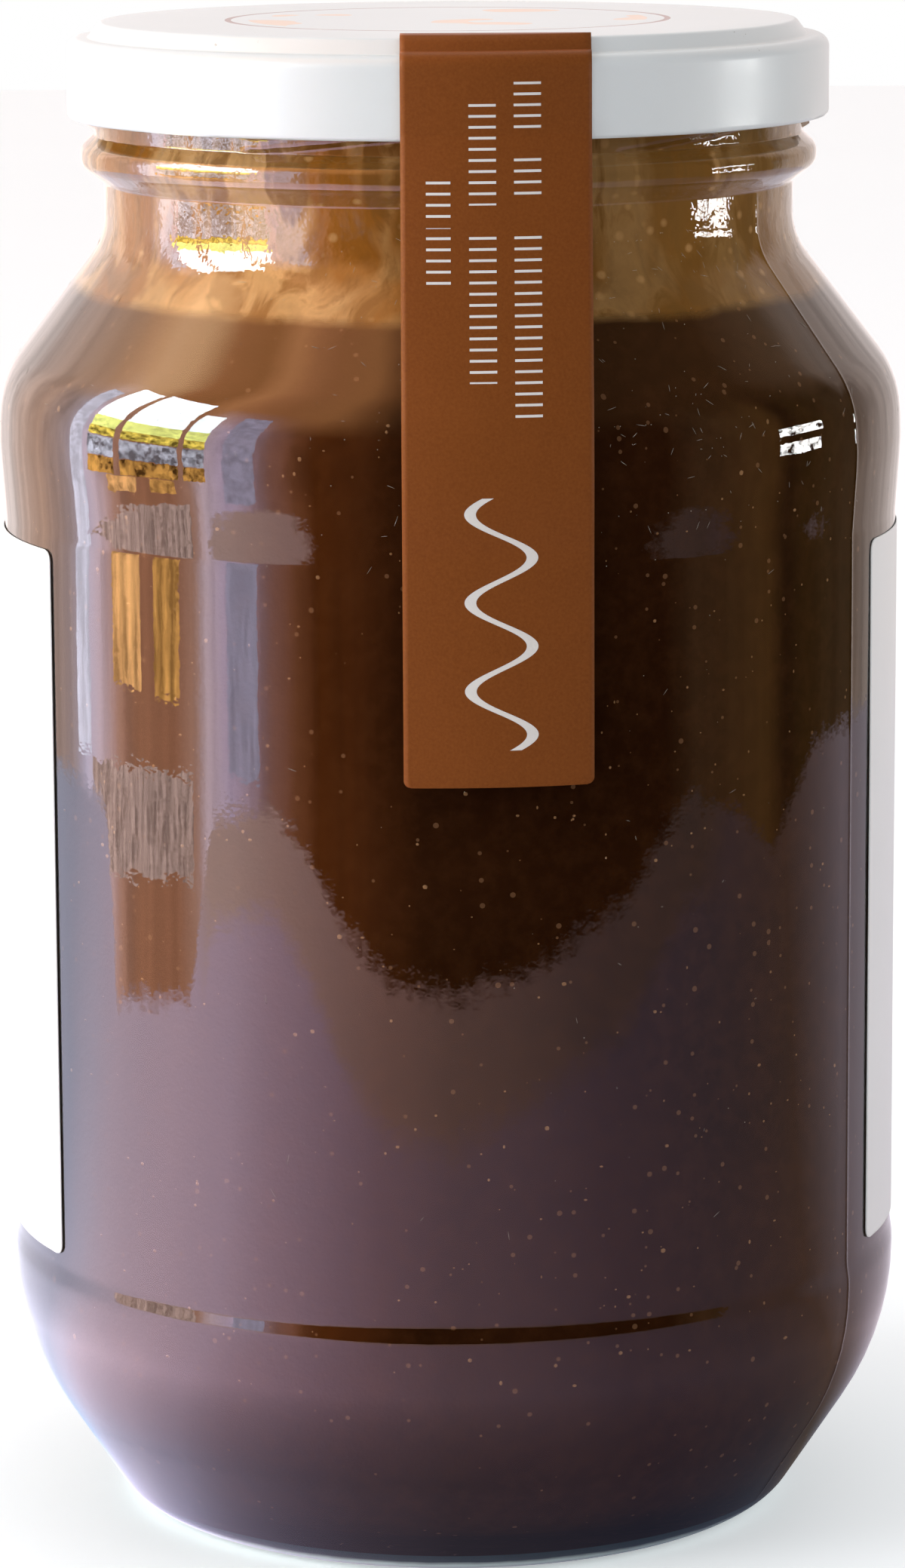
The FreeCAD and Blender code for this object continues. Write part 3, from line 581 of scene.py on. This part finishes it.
def strip_layer(lift):
    """Points of one face of the strip, lift mm outside its route, from its end on the lid to its foot."""
    route = divided(rounded(STRIP_ROUTE, 8.0), 1.2, fine=(0.1, STRIP_FOOT, STRIP_FOOT + 1.0))
    slope = np.gradient(route, axis=0)
    outward = np.stack([-slope[:, 1], slope[:, 0]], axis=1)
    outward /= np.linalg.norm(outward, axis=1)[:, None]
    route = route + outward * lift
    rows = []
    across = np.linspace(-1.0, 1.0, STRIP_COLUMNS)
    middle, half = (STRIP_LEFT + STRIP_RIGHT) / 2, (STRIP_RIGHT - STRIP_LEFT) / 2
    for k in range(4):
        x = middle + half * across
        radius = np.hypot(STRIP_END, x) * (1 - k / 4) + route[0][0] * k / 4
        rows.append((x, radius, np.full(STRIP_COLUMNS, LID_TOP + lift)))
    for radius, height in route:
        corner = max(0.0, STRIP_CORNER - (height - STRIP_FOOT))
        width = half - (STRIP_CORNER - math.sqrt(max(0.0, STRIP_CORNER ** 2 - corner ** 2)))
        x = middle + width * across
        heights = np.full(STRIP_COLUMNS, height)
        rows.append((x, radius + 0.05 * ripple(x / 9.0, heights, 21, (1, 4), 22.0), heights))
    return np.array([np.stack([x, -np.sqrt(radius ** 2 - x ** 2), heights], axis=1)
                     for x, radius, heights in rows]) * MM


def sheet_between(outer, inner):
    """The points of a thin sheet between two equal grids, its two faces and its cut edge."""
    rows, columns = outer.shape[:2]
    count = rows * columns
    faces = grid_faces(rows, columns, closed=False)
    faces += [tuple(v + count for v in face) for face in faces]
    rim = ([r * columns for r in range(rows)]
           + [(rows - 1) * columns + c for c in range(1, columns)]
           + [r * columns + columns - 1 for r in range(rows - 2, -1, -1)]
           + list(range(columns - 2, 0, -1)))
    edge = [(a, b, b + count, a + count) for a, b in zip(rim, rim[1:] + rim[:1])]
    return np.concatenate([outer.reshape(-1, 3), inner.reshape(-1, 3)]), faces, edge


strip_points, strip_faces, strip_edge = sheet_between(strip_layer(STRIP_SHEET), strip_layer(0.0))
strip = new_piece(
    "vinyl_seal_strip", strip_points, strip_faces + strip_edge, vinyl_material,
    stands_for=["seal_strip"],
)
strip.data.materials.append(cut_edge_material)
on_edge = np.arange(len(strip.data.polygons)) >= len(strip_faces)
strip.data.polygons.foreach_set("material_index", on_edge.astype(np.int32))
strip.data.polygons.foreach_set("use_smooth", ~on_edge)


# --- side label -------------------------------------------------------------------------------
# One white coated-paper label glued round the back of the jar, ends left and right of the front.
# Its print is reduced to plain grey lines.

LABEL_START, LABEL_END = -23.5, 210.0
LABEL_FOOT, LABEL_HEAD = 33.7, 114.0
LABEL_RADIUS, LABEL_SHEET, LABEL_CORNER = 50.92, 0.12, 1.3
LABEL_LENGTH = 208.0
LINE_PITCH, LINE_HALF, PRINT_HALF = 4.6, 0.13, 84.0
PAPER_WHITE, PAPER_BRIGHT, LINE_GREY = (0.83, 0.835, 0.83), (0.88, 0.885, 0.88), (0.36, 0.38, 0.42)

paper_material, paper_tree, paper_shader = new_material("coated label paper", Roughness=0.38)
paper_grain = place_group(paper_tree, grain, Fine_size=2200.0, Coarse_size=60.0, Height=0.00003)
paper_axes = axes_of(paper_tree, own_place(paper_tree))
round_mm = multiply(paper_tree, calculate(paper_tree, "ARCTAN2", paper_axes[0], paper_axes[1]), 51.0)
lines_up = calculate(paper_tree, "DIVIDE", multiply(paper_tree, paper_axes[2], 1000.0), LINE_PITCH)
off_line = calculate(paper_tree, "ABSOLUTE", calculate(
    paper_tree, "SUBTRACT", calculate(paper_tree, "FRACT", lines_up), 0.5))
word_place = add_node(
    paper_tree, "ShaderNodeCombineXYZ", X=multiply(paper_tree, round_mm, 0.23),
    Y=multiply(paper_tree, calculate(paper_tree, "FLOOR", lines_up), 7.3)).outputs[0]
words = noise(paper_tree, word_place, 1.0, label="breaks in the lines", Detail=0.0)
paper_print = multiply(paper_tree, calculate(paper_tree, "LESS_THAN", off_line, LINE_HALF),
                       calculate(paper_tree, "GREATER_THAN", words, 0.45))
paper_print = multiply(paper_tree, paper_print, calculate(paper_tree, "COMPARE", round_mm, 0.0, PRINT_HALF))
paper_colour = blend_colours(paper_tree, paper_grain["Coarse"], PAPER_WHITE, PAPER_BRIGHT)
paper_colour = blend_colours(paper_tree, multiply(paper_tree, paper_print, 0.45), paper_colour, LINE_GREY)
set_sockets(paper_tree, paper_shader, Base_Color=paper_colour, Normal=paper_grain["Normal"])


def closer_at_ends(margin, at_ends, between):
    """Shares from 0 to 1, at_ends steps within margin of each end and between steps from there on."""
    return np.concatenate([np.linspace(0, margin, at_ends)[:-1], np.linspace(margin, 1 - margin, between),
                           np.linspace(1 - margin, 1, at_ends)[1:]])


def label_layer(lift):
    """Points of one face of the label, its ends standing a little off the glass."""
    across = closer_at_ends(0.02, 9, 230)
    rows = []
    for share in closer_at_ends(0.016, 8, 40):
        height = LABEL_FOOT + (LABEL_HEAD - LABEL_FOOT) * share
        corner = max(0.0, LABEL_CORNER - min(height - LABEL_FOOT, LABEL_HEAD - height))
        inset = LABEL_CORNER - math.sqrt(max(0.0, LABEL_CORNER ** 2 - corner ** 2))
        inset = math.degrees(inset / LABEL_RADIUS)
        azimuth = np.radians(LABEL_START + inset + (LABEL_END - LABEL_START - 2 * inset) * across)
        heights = np.full(len(across), height)
        from_end = np.minimum(across, 1 - across) * LABEL_LENGTH
        radius = LABEL_RADIUS + lift + 0.02 + 0.04 * np.exp(-from_end / 1.5)
        radius = radius + 0.03 * ripple(azimuth, heights, 31, (4, 12), 50.0)
        rows.append(np.stack([radius * np.cos(azimuth), radius * np.sin(azimuth), heights], axis=1))
    return np.array(rows) * MM


label_points, label_faces, label_edge = sheet_between(label_layer(LABEL_SHEET), label_layer(0.0))
new_piece(
    "paper_side_label", label_points, label_faces + label_edge, paper_material,
    stands_for=["side_label"],
)


# --- crumbs behind the glass ------------------------------------------------------------------
# Coarser bits of roasted nut that the grinding left whole, pressed against the inside of the
# wall, thickly strewn all round below the shoulder.

CRUMB_COUNT = 1100
CRUMB_LEVELS = (24.0, 131.0)
BUTTER_RADIUS = 47.93
CRUMB_DARK, CRUMB_TAN = (0.10, 0.038, 0.012), (0.42, 0.22, 0.11)

crumb_material, crumb_tree, crumb_shader = new_material(
    "roasted nut crumb", Roughness=0.6, Specular_IOR_Level=0.0,
)
set_sockets(crumb_tree, crumb_shader, Base_Color=blend_colours(
    crumb_tree, noise(crumb_tree, own_place(crumb_tree), 180.0, Detail=2.0), CRUMB_DARK, CRUMB_TAN))


def scattered(name, count, seed, material, place, shape):
    """One joined mesh of small lumps; place gives each a middle and directions, shape its size."""
    chance = np.random.default_rng(seed)
    lump = bmesh.new()
    bmesh.ops.create_icosphere(lump, subdivisions=1, radius=1.0)
    corners = np.array([v.co for v in lump.verts])
    triangles = [tuple(v.index for v in f.verts) for f in lump.faces]
    lump.free()
    points, faces = [], []
    for _ in range(count):
        middle, axes = place(chance)
        faces += [tuple(v + len(points) for v in t) for t in triangles]
        points += list(middle + (corners * shape(chance)) @ axes)
    return new_piece(name, points, faces, material)


def on_butter(chance):
    """A place on the butter's face and its outward, sideways and upward directions."""
    azimuth, height = chance.uniform(0, 2 * math.pi), chance.uniform(*CRUMB_LEVELS)
    radius = inner_wall(np.array([BUTTER_RADIUS]), np.array([height]), np.array([azimuth]))[0][0]
    outward = np.array([math.cos(azimuth), math.sin(azimuth), 0.0])
    sideways = np.array([-outward[1], outward[0], 0.0])
    middle = outward * radius + np.array([0.0, 0.0, height])
    return middle * MM, np.array([outward, sideways, [0.0, 0.0, 1.0]])


def crumb_shape(chance):
    """A flat crumb, most of them small."""
    size = 0.10 + 0.22 * chance.random() ** 2.5
    return np.array([0.04, size * chance.uniform(0.6, 1.3), size * chance.uniform(0.6, 1.3)]) * MM


scattered("nut_crumbs", CRUMB_COUNT, 41, crumb_material, on_butter, crumb_shape)


# --- lint -------------------------------------------------------------------------------------
# Fine pale fibres and dust that cling to the outside of the glass by static and by traces of oil,
# thickest beside the strip.

LINT_COUNT = 620
LINT_FIBRES = 0.42
DUSTY_LINT, PALE_LINT = (0.26, 0.22, 0.18), (0.62, 0.58, 0.52)

lint_material, lint_tree, lint_shader = new_material("pale lint", Roughness=0.8)
set_sockets(lint_tree, lint_shader, Base_Color=blend_colours(
    lint_tree, noise(lint_tree, own_place(lint_tree), 900.0), DUSTY_LINT, PALE_LINT))


def on_glass(chance):
    """A place on the outside of the shoulder, neck or panel, with the surface's own directions."""
    row = int(chance.choice(len(outside_rows), p=lint_share))
    radius, height = outside_rows[row]
    slope = outside_rows[row + 1] - outside_rows[row - 1]
    slope = slope / np.linalg.norm(slope)
    by_strip = chance.random() < 0.5
    azimuth = math.radians(chance.normal(-70.0, 22.0) if by_strip else chance.uniform(-180.0, 180.0))
    flat = np.array([math.cos(azimuth), math.sin(azimuth), 0.0])
    sideways = np.array([-flat[1], flat[0], 0.0])
    upward = flat * slope[0] + np.array([0.0, 0.0, slope[1]])
    outward = flat * slope[1] - np.array([0.0, 0.0, slope[0]])
    spin = chance.uniform(0, math.pi)
    first = sideways * math.cos(spin) + upward * math.sin(spin)
    second = upward * math.cos(spin) - sideways * math.sin(spin)
    middle = flat * radius + np.array([0.0, 0.0, height]) + outward * 0.05
    return middle * MM, np.array([outward, first, second])


def lint_shape(chance):
    """A short fibre or a speck of dust."""
    if chance.random() < LINT_FIBRES:
        return np.array([0.012, 0.35 * chance.uniform(0.4, 2.0), 0.016]) * MM
    return np.array([0.02, 0.045, 0.045]) * chance.uniform(0.5, 1.3) * MM


lint_share = np.array([1.0 if 118 < h < 150 and r > 38 else 0.12 if 40 < h <= 118 else 0.0
                       for r, h in outside_rows])
lint_share /= lint_share.sum()
scattered("glass_lint", LINT_COUNT, 43, lint_material, on_glass, lint_shape)


# --- floor, room and light --------------------------------------------------------------------
# A pale floor and a plain white background. Glass mirrors a dim room instead: a bright window and
# its frame at the left, a lamp at the right, a warm ceiling, and a table top lit from the left.

def new_stage(name, points, faces, material):
    """A piece of the set that is no part of the jar."""
    mesh = bpy.data.meshes.new(name)
    mesh.from_pydata([tuple(p) for p in points], [], faces)
    mesh.materials.append(material)
    piece = bpy.data.objects.new(name, mesh)
    bpy.context.scene.collection.objects.link(piece)
    return piece


def colour_round(tree, direction, brightest, stops):
    """A colour by the compass angle of direction; stops are (degrees left of the front, colour)."""
    axes = axes_of(tree, direction)
    angle = calculate(tree, "ARCTAN2", multiply(tree, axes[0], -1.0), multiply(tree, axes[1], -1.0))
    turn = calculate(tree, "MULTIPLY_ADD", angle, 0.5 / math.pi, 0.5)
    ramp = add_node(tree, "ShaderNodeValToRGB", Fac=turn)
    elements = ramp.color_ramp.elements
    for k, (degrees, colour) in enumerate(stops):
        stop = elements[k] if k < 2 else elements.new(0.999)
        stop.position = (degrees + 180.0) / 360.0
        stop.color = (*[c / brightest for c in colour], 1.0)
    return ramp.outputs["Color"]


def mix_shaders(tree, share, first, second):
    """The output of one Mix Shader node."""
    return add_node(tree, "ShaderNodeMixShader", _0=share, _1=first, _2=second).outputs[0]


# The colour of the mirrored table and room, and the distance in metres at which the table ends,
# each going round from the back by the right, the front and the left.
TABLE_GLOW = [
    (-180, (1.0, 0.98, 1.1)), (-115, (0.81, 0.67, 0.76)), (-90, (0.42, 0.27, 0.22)),
    (-65, (0.36, 0.30, 0.38)), (-35, (0.52, 0.40, 0.58)), (0, (1.25, 0.84, 1.08)),
    (16, (2.1, 1.3, 1.65)), (27, (2.8, 1.8, 2.36)), (43, (4.2, 2.8, 3.6)), (55, (5.4, 3.9, 5.0)),
    (70, (6.0, 4.4, 5.4)), (90, (5.0, 4.0, 4.9)), (99, (3.9, 3.5, 4.4)), (109, (2.5, 2.5, 3.2)),
    (135, (1.7, 1.7, 2.0)), (180, (1.0, 0.98, 1.1)),
]
TABLE_END = [
    (-180, 0.60), (-102, 0.56), (-86, 0.45), (-74, 0.50), (-60, 0.52), (-42, 0.43), (-20, 0.38),
    (0, 0.352), (15, 0.365), (26, 0.41), (36, 0.48), (44, 0.52), (60, 0.50), (66, 0.335), (90, 0.325),
    (96, 0.50), (180, 0.60),
]
ROOM_GLOW = [
    (-180, (1.3, 1.2, 1.2)), (-133, (1.0, 0.80, 0.70)), (-127, (0.85, 0.64, 0.52)),
    (-122, (0.22, 0.15, 0.08)), (-103, (0.16, 0.10, 0.03)), (-95, (0.05, 0.04, 0.02)),
    (-89, (0.5, 0.26, 0.08)), (-70, (0.38, 0.22, 0.10)), (-62, (0.2, 0.12, 0.06)),
    (-56, (0.0, 0.0, 0.0)), (8, (0.0, 0.0, 0.0)), (22, (0.6, 0.16, 0.04)), (34, (0.9, 0.22, 0.04)),
    (40, (2.0, 0.72, 0.34)), (46, (3.2, 1.5, 1.2)), (51, (4.8, 3.2, 3.8)), (58, (6.4, 5.0, 6.8)),
    (65, (8.0, 6.0, 6.6)), (68, (5.2, 2.9, 2.2)), (75, (4.3, 1.9, 1.1)), (88, (4.2, 1.9, 1.1)),
    (95, (4.6, 2.5, 1.9)), (101, (6.6, 4.9, 5.4)), (108, (6.0, 5.4, 6.9)), (113, (3.4, 2.7, 2.8)),
    (118, (2.9, 2.1, 1.9)), (127, (3.2, 2.1, 1.6)), (150, (2.0, 1.7, 1.6)), (180, (1.3, 1.2, 1.2)),
]
CEILING_GLOW = [
    (-180, (1.6, 1.5, 1.4)), (-140, (1.3, 1.05, 0.9)), (-120, (0.7, 0.42, 0.24)),
    (-100, (0.3, 0.15, 0.06)), (-60, (0.2, 0.10, 0.04)), (14, (0.25, 0.12, 0.05)),
    (24, (1.9, 0.75, 0.27)), (35, (4.0, 1.65, 0.6)), (50, (3.9, 1.55, 0.6)), (60, (4.8, 1.95, 0.8)),
    (68, (6.3, 2.7, 1.1)), (77, (4.0, 1.6, 0.56)), (88, (4.4, 1.8, 0.7)), (98, (8.0, 4.5, 2.3)),
    (107, (8.0, 4.6, 2.5)), (115, (5.8, 3.1, 1.6)), (125, (3.4, 2.0, 1.2)), (145, (3.0, 2.5, 2.3)),
    (180, (1.6, 1.5, 1.4)),
]
BRIGHTEST = 8.0

floor_material, floor_tree, floor_shader = new_material("pale floor", Roughness=0.6, Specular_IOR_Level=0.2)
floor_grain = place_group(floor_tree, grain, Fine_size=900.0, Coarse_size=6.0, Height=0.00002)
set_sockets(floor_tree, floor_shader, Base_Color=blend_colours(
    floor_tree, floor_grain["Coarse"], (0.86, 0.86, 0.87), (0.90, 0.90, 0.91)))
floor_place = own_place(floor_tree)
from_jar = add_node(floor_tree, "ShaderNodeVectorMath", operation="LENGTH", _0=floor_place).outputs["Value"]
edge_noise = noise(floor_tree, floor_place, 60.0, Detail=5.0, Roughness=0.7)
past_end = calculate(floor_tree, "SUBTRACT", from_jar, colour_round(
    floor_tree, floor_place, 1.0, [(degrees, (end, end, end)) for degrees, end in TABLE_END]))
ragged_end = calculate(floor_tree, "MULTIPLY_ADD", edge_noise, 0.05,
                       calculate(floor_tree, "SUBTRACT", past_end, 0.025))
table_colour = colour_round(floor_tree, floor_place, BRIGHTEST, TABLE_GLOW)
browned = add_node(floor_tree, "ShaderNodeVectorMath", operation="MULTIPLY",
                   _0=table_colour, _1=(1.0, 0.93, 0.66)).outputs[0]
brown_share = multiply(
    floor_tree,
    spread(floor_tree, calculate(floor_tree, "MULTIPLY_ADD", edge_noise, 0.05, past_end), -0.085, -0.055),
    spread(floor_tree, axes_of(floor_tree, floor_place)[1], -0.15, -0.21))
# Painted shadow of the jar on the mirrored table: darker close to the jar.
painted_jar_shadow = blend_colours(floor_tree, spread(floor_tree, from_jar, 0.048, 0.084),
                       (0.27, 0.34, 0.37), (1.0, 1.0, 1.0))
mirrored_colour = add_node(
    floor_tree, "ShaderNodeVectorMath", operation="MULTIPLY",
    _0=blend_colours(floor_tree, brown_share, table_colour, browned), _1=painted_jar_shadow).outputs[0]
mirrored_table = add_node(floor_tree, "ShaderNodeEmission", Strength=BRIGHTEST, Color=mirrored_colour)
mirrored_floor = mix_shaders(
    floor_tree, spread(floor_tree, ragged_end, -0.008, 0.012), mirrored_table.outputs[0],
    add_node(floor_tree, "ShaderNodeBsdfTransparent").outputs[0])
floor_lift = add_node(floor_tree, "ShaderNodeEmission", Color=(0.93, 0.98, 1.0), Strength=0.40)
lifted_floor = add_node(floor_tree, "ShaderNodeAddShader",
                        _0=floor_shader.outputs[0], _1=floor_lift.outputs[0])
floor_rays = add_node(floor_tree, "ShaderNodeLightPath").outputs
straight_rays = calculate(floor_tree, "MAXIMUM",
                          floor_rays["Is Camera Ray"], floor_rays["Is Transmission Ray"])
seen_floor = mix_shaders(floor_tree, straight_rays, floor_shader.outputs[0], lifted_floor.outputs[0])
set_sockets(floor_tree, floor_tree.nodes["Material Output"], Surface=mix_shaders(
    floor_tree, floor_rays["Is Glossy Ray"], seen_floor, mirrored_floor))
new_stage("floor", [(-2.5, -2.5, 0), (2.5, -2.5, 0), (2.5, 2.5, 0), (-2.5, 2.5, 0)], [(0, 1, 2, 3)],
          floor_material)

CARD_DISTANCE = 0.55
CARD_COLUMNS = 9


def round_card(name, first, last, low, high, colour, strength, patchy=0.2, grain_size=38.0):
    """A curved glowing card round the axis, mirrored by gloss alone; degrees run to the left."""
    material = bpy.data.materials.new(name)
    material.use_nodes = True
    tree = material.node_tree
    tree.nodes.remove(tree.nodes["Principled BSDF"])
    uneven = noise(tree, own_place(tree), grain_size, Detail=4.0, Roughness=0.65)
    glow = add_node(tree, "ShaderNodeEmission", Color=colour, Strength=spread(
        tree, uneven, 0.38, 0.62, To_Min=strength * (1 - patchy), To_Max=strength * (1 + patchy)))
    set_sockets(tree, tree.nodes["Material Output"], Surface=glow.outputs[0])
    points = []
    for height in (low, high):
        points += [(-CARD_DISTANCE * math.sin(a), -CARD_DISTANCE * math.cos(a), height)
                   for a in np.radians(np.linspace(first, last, CARD_COLUMNS))]
    card = new_stage(name, points, grid_faces(2, CARD_COLUMNS, closed=False), material)
    for kind in ("camera", "diffuse", "shadow", "transmission"):
        setattr(card, "visible_" + kind, False)


# Each band of the view: its name, foot, top, colour, strength and patchiness.
WINDOW_BANDS = [
    ("yard", 0.050, 0.085, (1.0, 0.50, 0.12), 6.0, 0.9),
    ("fence", 0.087, 0.150, (0.78, 0.80, 0.95), 7.0, 0.7),
    ("hedge", 0.155, 0.205, (0.95, 0.72, 0.12), 10.0, 0.8),
    ("lawn", 0.205, 0.275, (0.90, 0.95, 0.28), 16.0, 0.25),
    ("sky", 0.275, 0.50, (0.90, 0.96, 1.0), 24.0, 0.1),
]
# Each pane: its right and left ends in degrees, and how much taller its sky is.
WINDOW_PANES = [(60.5, 67.0, -0.06), (68.6, 87.5, 0.06), (89.5, 99.5, 0.04)]
for band, low, high, colour, strength, patchy in WINDOW_BANDS:
    for pane, (first, last, taller) in enumerate(WINDOW_PANES):
        top = high + taller if band == "sky" else high
        round_card(f"window_{band}_{pane}", first, last, low, top, colour, strength, patchy)
round_card("sill_right", 70.0, 78.0, 0.014, 0.048, (1.0, 0.50, 0.14), 8.5, 0.5)
round_card("sill_left", 82.5, 92.5, 0.014, 0.048, (1.0, 0.52, 0.20), 10.0, 0.45)
round_card("bench_edge", 66.0, 101.0, -0.024, -0.001, (1.0, 0.70, 0.62), 5.2, 0.42, 95.0)
round_card("curtain_right", 47.5, 55.5, 0.0, 0.46, (0.80, 0.74, 1.0), 5.5)
round_card("curtain_left", 101.5, 107.0, 0.0, 0.46, (0.86, 0.84, 1.0), 8.0)
round_card("lamp_right_high", -104.0, -87.0, 0.142, 0.185, (1.0, 0.99, 0.97), 14.0, 1.0)
round_card("lamp_right_low", -103.0, -87.0, 0.083, 0.113, (1.0, 0.99, 0.97), 14.0, 1.0)


def soft_lamp(name, place, target, size, power, colour):
    """A rectangular lamp that glass and camera don't show."""
    lamp = bpy.data.lights.new(name, "AREA")
    lamp.shape = "RECTANGLE"
    lamp.size, lamp.size_y = size
    lamp.energy = power
    lamp.color = colour
    holder = bpy.data.objects.new(name, lamp)
    holder.location = place
    holder.rotation_euler = (Vector(target) - Vector(place)).to_track_quat("-Z", "Y").to_euler()
    for kind in ("glossy", "transmission", "camera"):
        setattr(holder, "visible_" + kind, False)
    bpy.context.scene.collection.objects.link(holder)


soft_lamp("window_light", (-1.15, -0.42, 0.55), (0.0, 0.0, 0.1), (0.8, 0.9), 12.2, (0.98, 0.99, 1.0))
soft_lamp("room_light", (1.2, -0.5, 0.8), (0.0, 0.0, 0.1), (1.0, 1.0), 3.5, (0.95, 0.98, 1.0))

world = bpy.data.worlds.new("studio")
bpy.context.scene.world = world
world.use_nodes = True
world_tree = world.node_tree
seen_by = add_node(world_tree, "ShaderNodeLightPath").outputs
looking = add_node(world_tree, "ShaderNodeTexCoord").outputs["Generated"]
looking_axes = axes_of(world_tree, looking)
mirrored_room = colour_round(world_tree, looking, BRIGHTEST, ROOM_GLOW)
ceiling = colour_round(world_tree, looking, BRIGHTEST, CEILING_GLOW)
flattened = add_node(world_tree, "ShaderNodeMapping", Vector=looking, Scale=(1.0, 1.0, 0.25)).outputs[0]
folds = noise(world_tree, flattened, 9.0, Detail=3.0, Roughness=0.6)
folded_room = add_node(world_tree, "ShaderNodeVectorMath", operation="SCALE", _0=mirrored_room, Scale=spread(
    world_tree, folds, 0.36, 0.62, To_Min=0.78, To_Max=1.12)).outputs[0]
whole_room = blend_colours(world_tree, spread(world_tree, looking_axes[2], 0.34, 0.64), folded_room, ceiling)
bright_room = add_node(world_tree, "ShaderNodeVectorMath", operation="SCALE", _0=whole_room, Scale=BRIGHTEST)
through_glass = blend_colours(world_tree, spread(world_tree, looking_axes[1], -0.1, 0.5),
                              (0.06, 0.05, 0.05), (0.95, 0.95, 0.97))
room_colour = blend_colours(world_tree, seen_by["Is Glossy Ray"], (0.50, 0.50, 0.51), bright_room.outputs[0])
room_colour = blend_colours(world_tree, seen_by["Is Transmission Ray"], room_colour, through_glass)
room_colour = blend_colours(world_tree, seen_by["Is Camera Ray"], room_colour, (1.0, 1.0, 1.0))
set_sockets(world_tree, world_tree.nodes["Background"], Color=room_colour)
bpy.context.scene.view_settings.view_transform = "Standard"


# --- camera -----------------------------------------------------------------------------------
# Level with the top of the jar and looking slightly down through a long lens, so that the jar
# fills the upright frame.

camera_data = bpy.data.cameras.new("camera")
camera_data.lens = 134.2
camera_data.sensor_width = 36.0
camera_data.clip_start = 0.01
camera = bpy.data.objects.new("camera", camera_data)
camera.matrix_world = (Matrix.Translation((0.0001, -0.6642, 0.2062))
                       @ Matrix.Rotation(math.radians(90.0 - 10.52), 4, "X")
                       @ Matrix.Rotation(math.radians(-0.30), 4, "Z"))
bpy.context.scene.collection.objects.link(camera)
bpy.context.scene.camera = camera
